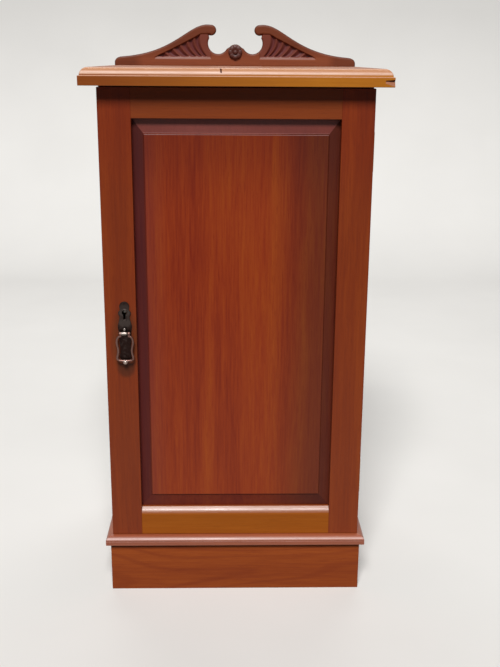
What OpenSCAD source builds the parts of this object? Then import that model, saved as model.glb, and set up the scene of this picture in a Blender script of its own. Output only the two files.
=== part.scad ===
// Bedside pot cupboard: a one-door mahogany cupboard on a plinth, with a swan-neck carved gallery.
// Millimetres. +Z up, the door faces -Y, the origin is on the floor under the centre of the top.

/* [Case] */
// Width across the outside of the sides, which the door covers
case_w = 350; // [300:5:450]
// Depth from the front face of the door to the back of the case
case_d = 300; // [240:5:400]
// Height from the floor to the underside of the top
case_h = 707; // [640:1:900]
// Thickness of each side
side_t = 16; // [15:0.5:20]

/* [Top] */
// Thickness of the top
top_t = 22; // [18:1:30]
// How far the top stands past the door and past each side
top_overhang = 20; // [15:1:35]
// Radius of the quarter round worked along the top's upper edge
top_ovolo_r = 10; // [5:0.5:14]
// Width of the flat step under the quarter round
top_step_w = 2; // [0.5:0.5:5]

/* [Base and plinth] */
// Thickness of the board that the sides stand on
base_t = 13.5; // [12:0.5:22]
// Height of the plinth
plinth_h = 73; // [55:1:120]
// Thickness of the plinth boards
plinth_t = 18; // [14:1:22]
// How far the plinth stands past the door and past each side
plinth_out = 3; // [0:0.5:5]
// How far the moulding stands past the door and past each side
mould_w = 9.3; // [7:0.1:10]
// Radius of the round on the upper edge of the moulding
mould_round_r = 10.3; // [9.8:0.1:12]
// Height of the square edge under that round
mould_edge_h = 5.8; // [4:0.1:6.5]
// Width and depth of the groove scratched between the two
mould_groove = 0.7; // [0.4:0.1:1]
// Side of the square corner blocks inside the plinth
corner_block_w = 25; // [18:1:40]
// Height of the corner blocks
corner_block_h = 50; // [35:1:54]

/* [Rails and shelf] */
// Depth of the two rails under the top, front to back
rail_d = 50; // [46:1:70]
// Thickness of those rails
rail_t = 18; // [14:1:22]
// Length of the lapped dovetail at each end of a rail
dovetail_len = 12; // [8:0.5:14]
// Width of the dovetail at its root
dovetail_root_w = 30; // [20:1:34]
// How much each cheek of the dovetail flares towards its end
dovetail_flare = 4; // [2:0.5:6]
// Thickness of the shelf
shelf_t = 14; // [10:1:20]
// Height of the underside of the shelf from the floor
shelf_z = 378; // [250:1:380]
// Distance from the front edge of the sides back to the shelf's front edge
shelf_setback = 24.5; // [15:0.5:60]
// Depth of the housings that hold the shelf in the sides
housing_depth = 6; // [4:0.5:8]

/* [Back] */
// Thickness of the back boards
back_t = 8; // [7:0.5:12]
// Width of the rebate that the back boards lie in
rebate_w = 8; // [6:0.5:10]
// Gap left between two back boards
back_board_gap = 0.4; // [0.2:0.1:1]
// Thickness of the tongue on the edge of a back board
back_tongue_t = 2.6; // [2:0.1:3]
// Width of that tongue
back_tongue_w = 5; // [3:0.5:7]
// Clearance around the tongue in its groove
back_tongue_clear = 0.1; // [0.05:0.05:0.3]

/* [Door] */
// Thickness of the door frame
door_t = 20; // [19:1:24]
// Width of the two stiles
stile_w = 42; // [38:1:60]
// Width of the top rail of the door
door_rail_top_w = 38; // [30:1:70]
// Width of the bottom rail of the door, up to its ledge
door_rail_bottom_w = 40.2; // [32:0.1:72]
// Gap between the top edge of the door and the top
door_gap_top = 2; // [1:0.5:4]
// Gap between the bottom edge of the door and the base
door_gap_bottom = 0.8; // [0.5:0.1:4]
// Gap between the back of the door and the front edge of the case
door_gap_back = 0.5; // [0.3:0.1:1]
// Thickness of the groove and of the tenons
groove_t = 6; // [5:0.5:7]
// Distance from the front of the frame to the groove
groove_setback = 10; // [9:0.5:11]
// Depth of the groove that holds the panel
groove_depth = 8; // [6:0.5:10]
// Length of the tenons on the door rails
tenon_len = 26; // [15:1:32]
// Shoulder left outside each tenon
tenon_shoulder = 8; // [5:0.5:12]
// Space left at the end of each mortise
mortise_clear = 1; // [0.5:0.5:2]
// Width and height of the chamfer along the front of the ledge on the bottom rail
ledge_chamfer = 6.5; // [4:0.5:8]

/* [Panel] */
// Distance from the front of the frame back to the raised field
field_setback = 4; // [2:0.5:6]
// Height of the step around the raised field
field_step = 1.5; // [0.5:0.5:2.5]
// Width of the bevel at each side of the field
bevel_side_w = 15; // [8:0.5:30]
// Width of the bevel above and below the field
bevel_end_w = 19; // [8:0.5:40]
// Play left at each side of the panel in its groove
panel_play = 1; // [0.5:0.5:2]
// Play left above the panel in its groove
panel_play_top = 2; // [0.5:0.5:4]

/* [Gallery] */
// Thickness of the gallery board
gallery_t = 12; // [10:0.5:16]
// Distance from the back of the top to the gallery
gallery_setback = 4; // [0:0.5:20]
// Width of the gallery from end to end
gallery_w = 368; // [340:1:376]
// Height of the gallery's two crests
gallery_h = 60; // [54:1:80]
// Height of the low rounded ends
gallery_end_h = 13; // [10:0.5:20]
// Distance from the middle to each crest
crest_x = 44; // [42:1:60]
// Radius of the scroll that ends each swan neck
scroll_r = 7.8; // [6:0.1:9]
// Radius of the round hollow under each scroll
hollow_r = 15.4; // [13:0.1:16]
// Height of the bottom of that hollow above the top
hollow_z = 17.4; // [15:0.1:20]
// Height of the flat band below the carving
band_h = 13; // [11:0.5:14]
// Width of the plain rim around the carving
rim_w = 6.5; // [4:0.5:9]
// Number of flutes carved in each wing
flutes = 6; // [3:1:9]
// Depth of the flutes
flute_depth = 3; // [1:0.5:4]
// Width of the rib left between two flutes
rib_w = 1.8; // [1:0.1:3]
// Radius of the turned boss in the middle
boss_r = 10.5; // [7:0.5:12]
// Height of the centre of the boss above the top
boss_z = 20; // [17:0.5:24]
// How far the boss stands out from the gallery
boss_depth = 6; // [3:0.5:9]
// Number of petals cut in the boss
boss_petals = 8; // [5:1:12]
// Radius of the dowels that hold the gallery
dowel_r = 3; // [2:0.5:3.5]
// Length of the dowels
dowel_len = 20; // [14:1:22]

/* [Hinges] */
// Length of each brass butt hinge
hinge_len = 50; // [40:1:75]
// Width of a leaf from the pin to its edge
leaf_w = 15; // [13:0.5:15]
// Thickness of a leaf
leaf_t = 1.5; // [1:0.1:2]
// Radius of the knuckles
knuckle_r = 2.5; // [2.3:0.1:3.2]
// How far the pin stands outside the face of the side
hinge_out = 0.8; // [0.5:0.1:2]
// Radius of the hinge pin
hinge_pin_r = 1.2; // [1:0.1:1.5]
// Distance from each end of the door to the middle of its hinge
hinge_inset = 80; // [70:1:140]
// Space around a knuckle and around the barrel
knuckle_clear = 0.3; // [0.2:0.1:0.5]

/* [Lock] */
// Distance from the outer edge of the door to the key pin and the handle
key_inset = 26.5; // [24:0.5:28]
// Height of the key pin from the floor
key_z = 415; // [412:1:560]
// Width of the lock
lock_w = 24; // [22:1:25]
// Height of the lock's box
lock_h = 34; // [33:0.5:36]
// Depth of the lock's box behind its plate
lock_d = 10; // [9:0.5:12]
// Thickness of the lock's sheet metal
lock_sheet = 1; // [0.8:0.1:1.2]
// Space between the lock and the side of the case
lock_clear = 1.2; // [1:0.1:2]
// Thickness of the plate behind the lock, and of the keep
lock_plate_t = 1.2; // [1:0.1:1.5]
// How far the bolt is thrown
bolt_throw = 5; // [4:0.5:6]
// Height of the bolt
bolt_h = 9; // [8.5:0.5:9]
// Thickness of the bolt
bolt_t = 3.6; // [3:0.1:4]
// Space around the bolt where it passes through metal or wood
bolt_clear = 0.3; // [0.2:0.1:0.5]
// Radius of the key pin
key_pin_r = 1.5; // [1:0.1:2]
// Radius of the round part of the keyhole
keyhole_r = 3.2; // [2.8:0.1:3.6]
// Width of the keyhole's slot
keyhole_slot_w = 3; // [2:0.1:4]
// Length of the slot, from the key pin down
keyhole_slot_len = 9.5; // [8:0.1:9.5]

/* [Handle] */
// Distance from the key pin down to the pivot of the drop handle
pivot_drop = 27.5; // [26:0.5:30]
// How far the pivot stands in front of the door
pivot_out = 7; // [6.5:0.1:9]
// Thickness of the back plate
plate_t = 2; // [1.5:0.1:2.5]
// Height of the back plate above the key pin
plate_above = 15; // [13:0.5:18]
// Width of the back plate at its shoulders
plate_w = 19; // [16:0.5:22]
// Radius of the post's barrel and of the handle's eyes
eye_r = 2.5; // [2.2:0.1:3]
// Length of the barrel between the eyes
barrel_w = 8.4; // [6:0.2:10]
// Thickness of an eye
eye_t = 2.8; // [2:0.1:3.4]
// Radius of the pivot pin
pivot_r = 1; // [0.8:0.1:1.2]
// Distance from the pivot to the lowest point of the handle
pull_len = 43.5; // [40:0.5:60]
// Width of the handle across its shoulders
pull_top_w = 24.4; // [22:0.1:27]
// Width of the handle at its waist
pull_waist_w = 21; // [18:0.1:23]
// Width of the handle at its foot
pull_foot_w = 24.2; // [22:0.1:28]
// Thickness of the handle's wire
pull_wire = 3; // [2.4:0.1:4]
// Radius of the knop at the handle's foot
knop_r = 3.2; // [2.6:0.1:4]
// Radius of the post's shank through the door
post_r = 2; // [1.5:0.1:2.5]
// Width of the square nut behind the door
nut_w = 8; // [7:0.5:10]
// Thickness of that nut
nut_t = 3; // [2:0.5:4]

/* [Fastenings] */
// Radius of the shank of the case screws
case_screw_r = 2; // [1.5:0.1:2.5]
// Radius of their heads
case_screw_head_r = 4; // [3.5:0.1:5]
// Depth that a case screw enters the piece it holds
case_screw_bite = 10; // [6:0.5:11]
// Radius of the shank of the small brass screws
small_screw_r = 1.2; // [0.9:0.1:1.3]
// Radius of their heads
small_screw_head_r = 2.1; // [1.8:0.1:2.2]
// Length of the small brass screws
small_screw_len = 10; // [6:0.5:12]
// Radius of the shank of a back nail
nail_r = 0.9; // [0.6:0.1:1.2]
// Radius of a nail's head
nail_head_r = 2.4; // [1.8:0.1:3]
// Length of the nails
nail_len = 22; // [16:1:26]
// Clearance between a pin and its bore
pin_clear = 0.05; // [0.02:0.01:0.08]
// Clearance between pieces that slide past each other
slide_clear = 0.1; // [0.05:0.05:0.15]

/* [Hidden] */
$fn = 48;
solid_cut = 0.5; // how far a cutting solid runs past the face that it opens

// Places in the case
half_w = case_w / 2;
inner_x = half_w - side_t;
front_y = (top_overhang - case_d) / 2;
back_y = front_y + case_d;
door_back_y = front_y + door_t;
case_front_y = door_back_y + door_gap_back;
back_inner_y = back_y - back_t;
floor_z = plinth_h + base_t;
gallery_y = back_y - gallery_setback - gallery_t;
gallery_z = case_h + top_t;

// Places in the door
door_z0 = floor_z + door_gap_bottom;
door_z1 = case_h - door_gap_top;
opening_x = half_w - stile_w;
opening_z0 = door_z0 + door_rail_bottom_w;
opening_z1 = door_z1 - door_rail_top_w;
groove_y0 = front_y + groove_setback;
groove_y1 = groove_y0 + groove_t;
key_x = key_inset - half_w;

// Middles of the two rails under the top
rail_y_front = case_front_y + rail_d / 2;
rail_y_back = back_inner_y - rail_d / 2;

// Colours, as the polished wood and the dark metal show them
polished = [0.55, 0.22, 0.11];
polished_light = [0.62, 0.33, 0.16];
carved = [0.47, 0.22, 0.15];
plain_wood = [0.62, 0.48, 0.32];
brass = [0.72, 0.56, 0.28];
dark_metal = [0.2, 0.16, 0.14];
steel = [0.5, 0.5, 0.5];

// A straight block between two opposite corners.
module block(low, high) {
    translate(low) cube(high - low);
}

// A section drawn in Y and Z and run along X from x0 to x1.
module run_x(x0, x1) {
    translate([x0, 0, 0]) rotate([90, 0, 90]) linear_extrude(x1 - x0) children();
}

// A section drawn in X and Z and run along Y from y0 to y1.
module run_y(y0, y1) {
    translate([0, y1, 0]) rotate([90, 0, 0]) linear_extrude(y1 - y0) children();
}

// A rod along X, and one along Y.
module rod_x(x0, x1, y, z, r) {
    translate([x0, y, z]) rotate([0, 90, 0]) cylinder(h = x1 - x0, r = r);
}

module rod_y(x, y0, y1, z, r) {
    translate([x, y0, z]) rotate([-90, 0, 0]) cylinder(h = y1 - y0, r = r);
}

// A countersunk wood screw with the flat of its head at the origin, pointing down.
module wood_screw(length, shank_r, head_r, slotted = true) {
    cone_h = head_r - shank_r;
    slot_w = head_r / 4;
    difference() {
        rotate_extrude()
            polygon([[0, 0], [head_r, 0], [shank_r, -cone_h], [shank_r, 2 * shank_r - length], [0, -length]]);
        if (slotted)
            translate([-head_r, -slot_w / 2, -cone_h / 2]) cube([2 * head_r, slot_w, cone_h]);
    }
}

module small_screw(slotted = true) {
    wood_screw(small_screw_len, small_screw_r, small_screw_head_r, slotted);
}

// Points along a cubic curve, and along an arc.
function curve(a, b, c, d, steps) = [
    for (i = [0 : steps])
        let (t = i / steps, s = 1 - t)
        s * s * s * a + 3 * s * s * t * b + 3 * s * t * t * c + t * t * t * d
];

function arc(centre, r, from, to, steps) = [
    for (i = [0 : steps])
        let (angle = from + (to - from) * i / steps)
        centre + r * [cos(angle), sin(angle)]
];

// ---- Top -------------------------------------------------------------------------------------

// Half of the top's section: a flat, a quarter round and a step, up to the edge at x = reach.
module top_half_section(reach) {
    shoulder = reach - top_step_w;
    square_x = shoulder - top_ovolo_r;
    union() {
        translate([0, case_h]) square([square_x, top_t]);
        translate([0, case_h]) square([reach, top_t - top_ovolo_r]);
        translate([square_x, gallery_z - top_ovolo_r]) intersection() {
            circle(r = top_ovolo_r);
            square(top_ovolo_r);
        }
    }
}

module top_board() {
    front_edge = front_y - top_overhang;
    side_edge = half_w + top_overhang;
    color(polished_light) difference() {
        intersection() {
            run_y(front_edge, back_y) union() {
                top_half_section(side_edge);
                mirror([1, 0]) top_half_section(side_edge);
            }
            translate([0, back_y, 0]) mirror([0, 1, 0])
                run_x(-side_edge, side_edge) top_half_section(back_y - front_edge);
        }
        gallery_dowels();
        top_screws(false);
    }
}

// ---- Gallery ---------------------------------------------------------------------------------

scroll_c = [crest_x - 7.2, gallery_h - scroll_r - 0.3];
hollow_c = [hollow_r + boss_r + 0.3, hollow_z + hollow_r];
end_x = gallery_w / 2;
knee = [crest_x + 38, 0.71 * gallery_h];

// The upper edge of a wing, from the crest down to its low end.
crest_line = curve([crest_x - 4, gallery_h], [crest_x + 10, gallery_h + 1], knee + [-16, 10], knee, 10);
ogee_line = curve(knee, knee + [22, -13.5], [end_x - 56, gallery_end_h + 3.5],
    [end_x - 12, gallery_end_h], 12);
end_line = curve([end_x - 12, gallery_end_h], [end_x - 4, gallery_end_h - 0.6],
    [end_x, gallery_end_h - 4], [end_x, gallery_end_h - 9], 5);

// The outline of the right half, from the middle of its foot around to the middle of the boss.
function tail(points) = [for (i = [1 : len(points) - 1]) points[i]];
wing_outline = concat(
    [[0, 0], [end_x, 0]],
    [for (i = [len(end_line) - 1 : -1 : 0]) end_line[i]],
    [for (i = [len(ogee_line) - 2 : -1 : 0]) ogee_line[i]],
    [for (i = [len(crest_line) - 2 : -1 : 0]) crest_line[i]],
    arc(scroll_c, scroll_r, 100, 300, 10),
    arc(hollow_c, hollow_r, 30, -150, 16),
    arc([0, boss_z], boss_r + 1, 40, 90, 5)
);

// A rib between two flutes: t runs from 0 at the scroll to 1 at the tip of the wing, and s from
// 0 at the band below the carving to 1 under the rim.
function rib_foot(t) = [crest_x - 3 + 60 * pow(t, 1.25) + 8 * t, band_h];
function rib_head(t) = [
    crest_x + 4 + (knee[0] + 34 - crest_x) * t,
    gallery_h - rim_w - 3 - (gallery_h - rim_w - 3 - band_h - 1.5) * pow(t, 0.86)
];
function rib_point(t, s) =
    let (foot = rib_foot(t), head = rib_head(t), bend = [head[0] - foot[0], 0] * 0.8)
    (1 - s) * (1 - s) * foot + 2 * s * (1 - s) * (foot + bend + [0, (head[1] - foot[1]) * 0.35])
    + s * s * head;

// One hollow flute between the rib at t0 and the rib at t1, for the carver's gouge to cut.
module flute(t0, t1) {
    steps = 7;
    near = [for (i = [0 : steps]) rib_point(t0, i / steps) + [rib_w / 2, 0]];
    far = [for (i = [steps : -1 : 0]) rib_point(t1, i / steps) - [rib_w / 2, 0]];
    polygon(concat(near, far));
}

module gallery_board() {
    color(carved) translate([0, 0, gallery_z]) difference() {
        run_y(gallery_y, gallery_y + gallery_t)
            polygon(concat(wing_outline, [for (i = [len(wing_outline) - 1 : -1 : 1])
                [-wing_outline[i][0], wing_outline[i][1]]]));
        for (side = [0, 1]) mirror([side, 0, 0]) for (i = [0 : flutes - 1])
            run_y(gallery_y - solid_cut, gallery_y + flute_depth) flute(i / flutes, (i + 1) / flutes);
        translate([0, 0, -gallery_z]) gallery_dowels();
    }
}

module gallery_boss() {
    button_r = boss_r * 0.35;
    petal_r = boss_r * 0.28;
    color(carved) translate([0, gallery_y, gallery_z + boss_z]) rotate([90, 0, 0]) difference() {
        rotate_extrude()
            polygon(concat([[0, 0], [boss_r, 0]], arc([boss_r - 2, boss_depth * 0.35], 2, 0, 80, 4),
                [[button_r + 1, boss_depth * 0.7], [button_r, boss_depth * 0.8], [button_r * 0.6, boss_depth],
                [0, boss_depth]]));
        for (i = [0 : boss_petals - 1]) rotate([0, 0, 360 * i / boss_petals])
            translate([boss_r + petal_r * 0.3, 0, -solid_cut]) cylinder(h = boss_depth + 1, r = petal_r);
    }
}

dowel_places = [-0.65, -0.3, 0.3, 0.65];

module gallery_dowels() {
    color(plain_wood) for (place = dowel_places)
        translate([place * end_x, gallery_y + gallery_t / 2 + flute_depth / 2, gallery_z - dowel_len / 2])
            cylinder(h = dowel_len, r = dowel_r);
}

// ---- Sides, rails and shelf ------------------------------------------------------------------

module dovetail(centre_y, x_from) {
    root = dovetail_root_w / 2;
    wide = root + dovetail_flare;
    translate([0, centre_y, case_h - rail_t]) linear_extrude(rail_t)
        polygon([[x_from, -root], [x_from, root], [inner_x, root], [inner_x + dovetail_len, wide],
            [inner_x + dovetail_len, -wide], [inner_x, -root]]);
}

// A right-hand side with all that both sides share: housing, rebate and dovetail sockets.
module side_board() {
    difference() {
        block([inner_x, case_front_y, floor_z], [half_w, back_y, case_h]);
        block([inner_x - solid_cut, case_front_y + shelf_setback, shelf_z],
            [inner_x + housing_depth, back_inner_y, shelf_z + shelf_t]);
        block([inner_x - solid_cut, back_inner_y, floor_z - solid_cut],
            [inner_x + rebate_w, back_y + solid_cut, case_h + solid_cut]);
        for (y = [rail_y_front, rail_y_back]) dovetail(y, inner_x - solid_cut);
    }
}

module side_right() {
    color(polished) difference() {
        side_board();
        base_screws(false);
        back_nails();
        for (z = hinge_places) {
            hinge_recess(case_front_y, leaf_t, z);
            barrel_room(z);
        }
        hinge_screws_fixed(false);
    }
}

module side_left() {
    color(polished) difference() {
        mirror([1, 0, 0]) side_board();
        base_screws(false);
        back_nails();
        keep_outline(0);
        keep_screws(false);
        block([-inner_x - bolt_throw - 2, bolt_y - bolt_clear, bolt_z - bolt_clear],
            [-inner_x + solid_cut, bolt_y + bolt_t + bolt_clear, bolt_z + bolt_h + bolt_clear]);
    }
}

module top_rail(centre_y) {
    difference() {
        union() {
            block([-inner_x, centre_y - rail_d / 2, case_h - rail_t],
                [inner_x, centre_y + rail_d / 2, case_h]);
            for (side = [0, 1]) mirror([side, 0, 0]) dovetail(centre_y, inner_x - 1);
        }
        top_screws(false);
        back_nails();
    }
}

module top_rail_front() {
    color(plain_wood) top_rail(rail_y_front);
}

module top_rail_back() {
    color(plain_wood) top_rail(rail_y_back);
}

// Screws up through the rails that hold the top down.
module top_screws(slotted = true) {
    color(steel) for (side = [-1, 1]) for (y = [rail_y_front, rail_y_back])
        translate([side * inner_x * 0.6, y, case_h - rail_t]) rotate([180, 0, 0])
            wood_screw(rail_t + case_screw_bite, case_screw_r, case_screw_head_r, slotted);
}

module shelf() {
    color(plain_wood) block([-inner_x - housing_depth, case_front_y + shelf_setback, shelf_z],
        [inner_x + housing_depth, back_inner_y, shelf_z + shelf_t]);
}

// ---- Base, plinth and moulding ---------------------------------------------------------------

module base_board() {
    color(polished) difference() {
        block([-half_w, front_y, plinth_h], [half_w, back_y, floor_z]);
        block([-inner_x - rebate_w, back_inner_y, floor_z - rebate_w],
            [inner_x + rebate_w, back_y + solid_cut, floor_z + solid_cut]);
        base_screws(false);
        plinth_screws(false);
        back_nails();
    }
}

// Screws up through the base into the ends of the sides.
module base_screws(slotted = true) {
    color(steel) for (side = [-1, 1]) for (y = [case_front_y + 2 * shelf_setback, rail_y_back])
        translate([side * (half_w - side_t / 2), y, plinth_h]) rotate([180, 0, 0])
            wood_screw(base_t + 2 * case_screw_bite, case_screw_r, case_screw_head_r, slotted);
}

// Outside and inside of the plinth, which stands a little proud of the case.
plinth_x = half_w + plinth_out;
plinth_y = front_y - plinth_out;
plinth_inner_x = plinth_x - plinth_t;
plinth_inner_y = plinth_y + plinth_t;

module plinth_front() {
    color(polished) linear_extrude(plinth_h)
        polygon([[-plinth_x, plinth_y], [plinth_x, plinth_y], [plinth_inner_x, plinth_inner_y],
            [-plinth_inner_x, plinth_inner_y]]);
}

module plinth_side() {
    linear_extrude(plinth_h)
        polygon([[plinth_x, plinth_y], [plinth_x, back_y], [plinth_inner_x, back_y],
            [plinth_inner_x, plinth_inner_y]]);
}

module plinth_right() {
    color(polished) plinth_side();
}

module plinth_left() {
    color(polished) mirror([1, 0, 0]) plinth_side();
}

module plinth_back() {
    color(plain_wood) block([-plinth_inner_x, back_y - plinth_t, 0], [plinth_inner_x, back_y, plinth_h]);
}

// Runs its children at the middle of each corner block, at the height of the base.
module at_plinth_corners() {
    for (x = [-1, 1]) for (y = [plinth_inner_y + corner_block_w / 2, back_y - plinth_t - corner_block_w / 2])
        translate([x * (plinth_inner_x - corner_block_w / 2), y, plinth_h]) children();
}

block_screw_grip = 0.45 * corner_block_h; // wood left between a block's screw head and the base

module plinth_corner_blocks() {
    color(plain_wood) difference() {
        at_plinth_corners() translate([-corner_block_w / 2, -corner_block_w / 2, -corner_block_h])
            cube([corner_block_w, corner_block_w, corner_block_h]);
        plinth_screws(false);
        at_plinth_corners() translate([0, 0, -corner_block_h - solid_cut])
            cylinder(h = corner_block_h - block_screw_grip + solid_cut, r = case_screw_head_r);
    }
}

module plinth_screws(slotted = true) {
    color(steel) at_plinth_corners() translate([0, 0, -block_screw_grip]) rotate([180, 0, 0])
        wood_screw(block_screw_grip + case_screw_bite, case_screw_r, case_screw_head_r, slotted);
}

// The moulding's section: x is how far it stands out, y is its height from the foot of the base.
// A round springs from the case and ends at a groove, and the edge below the groove is square.
module moulding_section() {
    round_foot = mould_edge_h + mould_groove;
    union() {
        square([mould_w, mould_edge_h]);
        translate([0, mould_edge_h]) square([mould_w - mould_groove, mould_groove]);
        intersection() {
            translate([0, base_t - mould_round_r]) circle(r = mould_round_r);
            translate([0, round_foot]) square([mould_w, base_t - round_foot]);
        }
    }
}

module moulding_front() {
    reach = half_w + mould_w;
    color(polished) intersection() {
        translate([-reach, front_y, plinth_h]) mirror([0, 1, 0]) rotate([90, 0, 90])
            linear_extrude(2 * reach) moulding_section();
        translate([0, 0, plinth_h]) linear_extrude(base_t)
            polygon([[-half_w, front_y], [half_w, front_y], [reach, front_y - mould_w], [-reach, front_y - mould_w]]);
    }
}

module moulding_side() {
    reach = half_w + mould_w;
    intersection() {
        translate([half_w, back_y, plinth_h]) rotate([90, 0, 0])
            linear_extrude(case_d + mould_w) moulding_section();
        translate([0, 0, plinth_h]) linear_extrude(base_t)
            polygon([[half_w, front_y], [reach, front_y - mould_w], [reach, back_y], [half_w, back_y]]);
    }
}

module moulding_right() {
    color(polished) moulding_side();
}

module moulding_left() {
    color(polished) mirror([1, 0, 0]) moulding_side();
}

// ---- Back ------------------------------------------------------------------------------------

back_half_w = inner_x + rebate_w;
back_board_w = 2 * back_half_w / 3;
tongue_y = back_inner_y + back_t / 2;

// One of three tongued and grooved boards, counted from the left.
module back_board(index) {
    x0 = -back_half_w + index * back_board_w + (index > 0 ? back_board_gap : 0);
    x1 = -back_half_w + (index + 1) * back_board_w;
    z0 = floor_z - rebate_w;
    groove_half = back_tongue_t / 2 + back_tongue_clear;
    difference() {
        union() {
            block([x0, back_inner_y, z0], [x1, back_y, case_h]);
            if (index < 2)
                block([x1 - 1, tongue_y - back_tongue_t / 2, z0],
                    [x1 + back_tongue_w, tongue_y + back_tongue_t / 2, case_h]);
        }
        if (index > 0)
            block([x0 - solid_cut, tongue_y - groove_half, z0 - solid_cut],
                [x0 + back_tongue_w, tongue_y + groove_half, case_h + solid_cut]);
        back_nails();
    }
}

module back_board_left() {
    color(plain_wood) back_board(0);
}

module back_board_middle() {
    color(plain_wood) back_board(1);
}

module back_board_right() {
    color(plain_wood) back_board(2);
}

module back_nail(x, z) {
    head_t = 1;
    translate([x, back_y, z]) rotate([90, 0, 0]) rotate_extrude()
        polygon([[0, 0], [nail_head_r, 0], [nail_head_r, head_t], [nail_r, head_t],
            [nail_r, nail_len - 2], [0, nail_len]]);
}

// Two nails in each end of each board, and a row up each edge into the sides.
module back_nails() {
    edge_x = inner_x + rebate_w / 2;
    color(steel) {
        for (index = [0 : 2]) for (place = [0.25, 0.75])
            for (z = [floor_z - rebate_w / 2, case_h - rail_t / 2])
                back_nail(-back_half_w + (index + place) * back_board_w, z);
        for (side = [-1, 1]) for (place = [0.2, 0.4, 0.6, 0.8])
            back_nail(side * edge_x, floor_z + place * (case_h - floor_z));
    }
}

// ---- Door ------------------------------------------------------------------------------------

// A right-hand stile with its groove and two mortises.
module stile() {
    difference() {
        block([opening_x, front_y, door_z0], [half_w, door_back_y, door_z1]);
        block([opening_x - solid_cut, groove_y0, opening_z0 - groove_depth],
            [opening_x + groove_depth, groove_y1, opening_z1 + groove_depth]);
        for (z = [door_z0 + tenon_shoulder, opening_z1 + groove_depth])
            block([opening_x - solid_cut, groove_y0, z],
                [opening_x + tenon_len + mortise_clear, groove_y1, z + tenon_h]);
    }
}

tenon_h = door_rail_top_w - groove_depth - tenon_shoulder;

module door_stile_hinge() {
    color(polished) difference() {
        stile();
        for (z = hinge_places) {
            hinge_recess(door_back_y, -leaf_t, z);
            barrel_room(z);
        }
        hinge_screws_door(false);
    }
}

module door_stile_lock() {
    color(polished) difference() {
        mirror([1, 0, 0]) stile();
        run_y(front_y - solid_cut, door_back_y + solid_cut) keyhole(0.5);
        rod_y(key_x, front_y - solid_cut, door_back_y + solid_cut, pivot_z, post_r + pin_clear);
        lock_screws(false);
        handle_plate_pins();
    }
}

module door_tenons(z) {
    reach = opening_x + tenon_len;
    block([-reach, groove_y0, z], [reach, groove_y1, z + tenon_h]);
}

module door_rail_top() {
    color(polished) union() {
        difference() {
            block([-opening_x, front_y, opening_z1], [opening_x, door_back_y, door_z1]);
            block([-opening_x - solid_cut, groove_y0, opening_z1 - solid_cut],
                [opening_x + solid_cut, groove_y1, opening_z1 + groove_depth]);
        }
        door_tenons(opening_z1 + groove_depth);
    }
}

// The bottom rail is a ledge in front of the panel, with a chamfer along its front edge.
module door_rail_bottom() {
    color(polished) union() {
        difference() {
            run_x(-opening_x, opening_x)
                polygon([[front_y, door_z0], [door_back_y, door_z0], [door_back_y, opening_z0],
                    [front_y + ledge_chamfer, opening_z0], [front_y, opening_z0 - ledge_chamfer]]);
            block([-opening_x - solid_cut, groove_y0, opening_z0 - groove_depth],
                [opening_x + solid_cut, groove_y1, opening_z0 + solid_cut]);
        }
        door_tenons(door_z0 + tenon_shoulder);
    }
}

// The raised and fielded panel: a tongue all round, a bevel, a small step and the flat field.
module door_panel() {
    field_y = front_y + field_setback;
    step_y = field_y + field_step;
    reach = opening_x + groove_depth - panel_play;
    field_x = opening_x - bevel_side_w;
    field_z0 = opening_z0 + bevel_end_w;
    field_z1 = opening_z1 - bevel_end_w;
    color(polished) union() {
        block([-reach, groove_y0, opening_z0 - groove_depth],
            [reach, groove_y1, opening_z1 + groove_depth - panel_play_top]);
        intersection() {
            translate([0, 0, opening_z0]) linear_extrude(opening_z1 - opening_z0)
                polygon([[-opening_x, groove_y1], [-opening_x, groove_y0], [-field_x, step_y], [-field_x, field_y],
                    [field_x, field_y], [field_x, step_y], [opening_x, groove_y0], [opening_x, groove_y1]]);
            run_x(-opening_x, opening_x)
                polygon([[groove_y1, opening_z0], [groove_y0, opening_z0], [step_y, field_z0], [field_y, field_z0],
                    [field_y, field_z1], [step_y, field_z1], [groove_y0, opening_z1], [groove_y1, opening_z1]]);
        }
    }
}

// ---- Hinges ----------------------------------------------------------------------------------

hinge_x = half_w + hinge_out;
hinge_y = door_back_y + door_gap_back / 2;
hinge_places = [door_z0 + hinge_inset, door_z1 - hinge_inset];
knuckles = 5;
knuckle_len = hinge_len / knuckles;
leaf_edge_x = hinge_x - leaf_w;
leaf_screw_x = (leaf_edge_x + half_w - knuckle_r) / 2;

// The recess for a leaf, cut in from the face at y by the signed depth.
module hinge_recess(y, depth, z) {
    block([leaf_edge_x, min(y, y + depth), z - hinge_len / 2],
        [half_w + solid_cut, max(y, y + depth), z + hinge_len / 2]);
}

// Room for the barrel in the corners of the door and of the side.
module barrel_room(z) {
    translate([hinge_x, hinge_y, z - hinge_len / 2 - 1.5])
        cylinder(h = hinge_len + 3, r = knuckle_r + knuckle_clear);
}

// A leaf with its own knuckles, and clear of the other leaf's: first is 0 or 1, the first knuckle
// that it owns counted from the foot of the hinge.
module hinge_leaf(y0, y1, z, first) {
    foot = z - hinge_len / 2;
    difference() {
        union() {
            block([leaf_edge_x, y0, foot], [hinge_x, y1, foot + hinge_len]);
            for (i = [first : 2 : knuckles - 1])
                translate([hinge_x, hinge_y, foot + i * knuckle_len + slide_clear / 2])
                    cylinder(h = knuckle_len - slide_clear, r = knuckle_r);
        }
        for (i = [1 - first : 2 : knuckles - 1])
            translate([hinge_x, hinge_y, foot + i * knuckle_len - slide_clear / 2])
                cylinder(h = knuckle_len + slide_clear, r = knuckle_r + knuckle_clear);
        translate([hinge_x, hinge_y, foot - 1]) cylinder(h = hinge_len + 2, r = hinge_pin_r + pin_clear);
        hinge_screws_fixed(false);
        hinge_screws_door(false);
    }
}

module fixed_leaf(z) {
    color(brass) hinge_leaf(case_front_y, case_front_y + leaf_t, z, 0);
}

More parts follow.
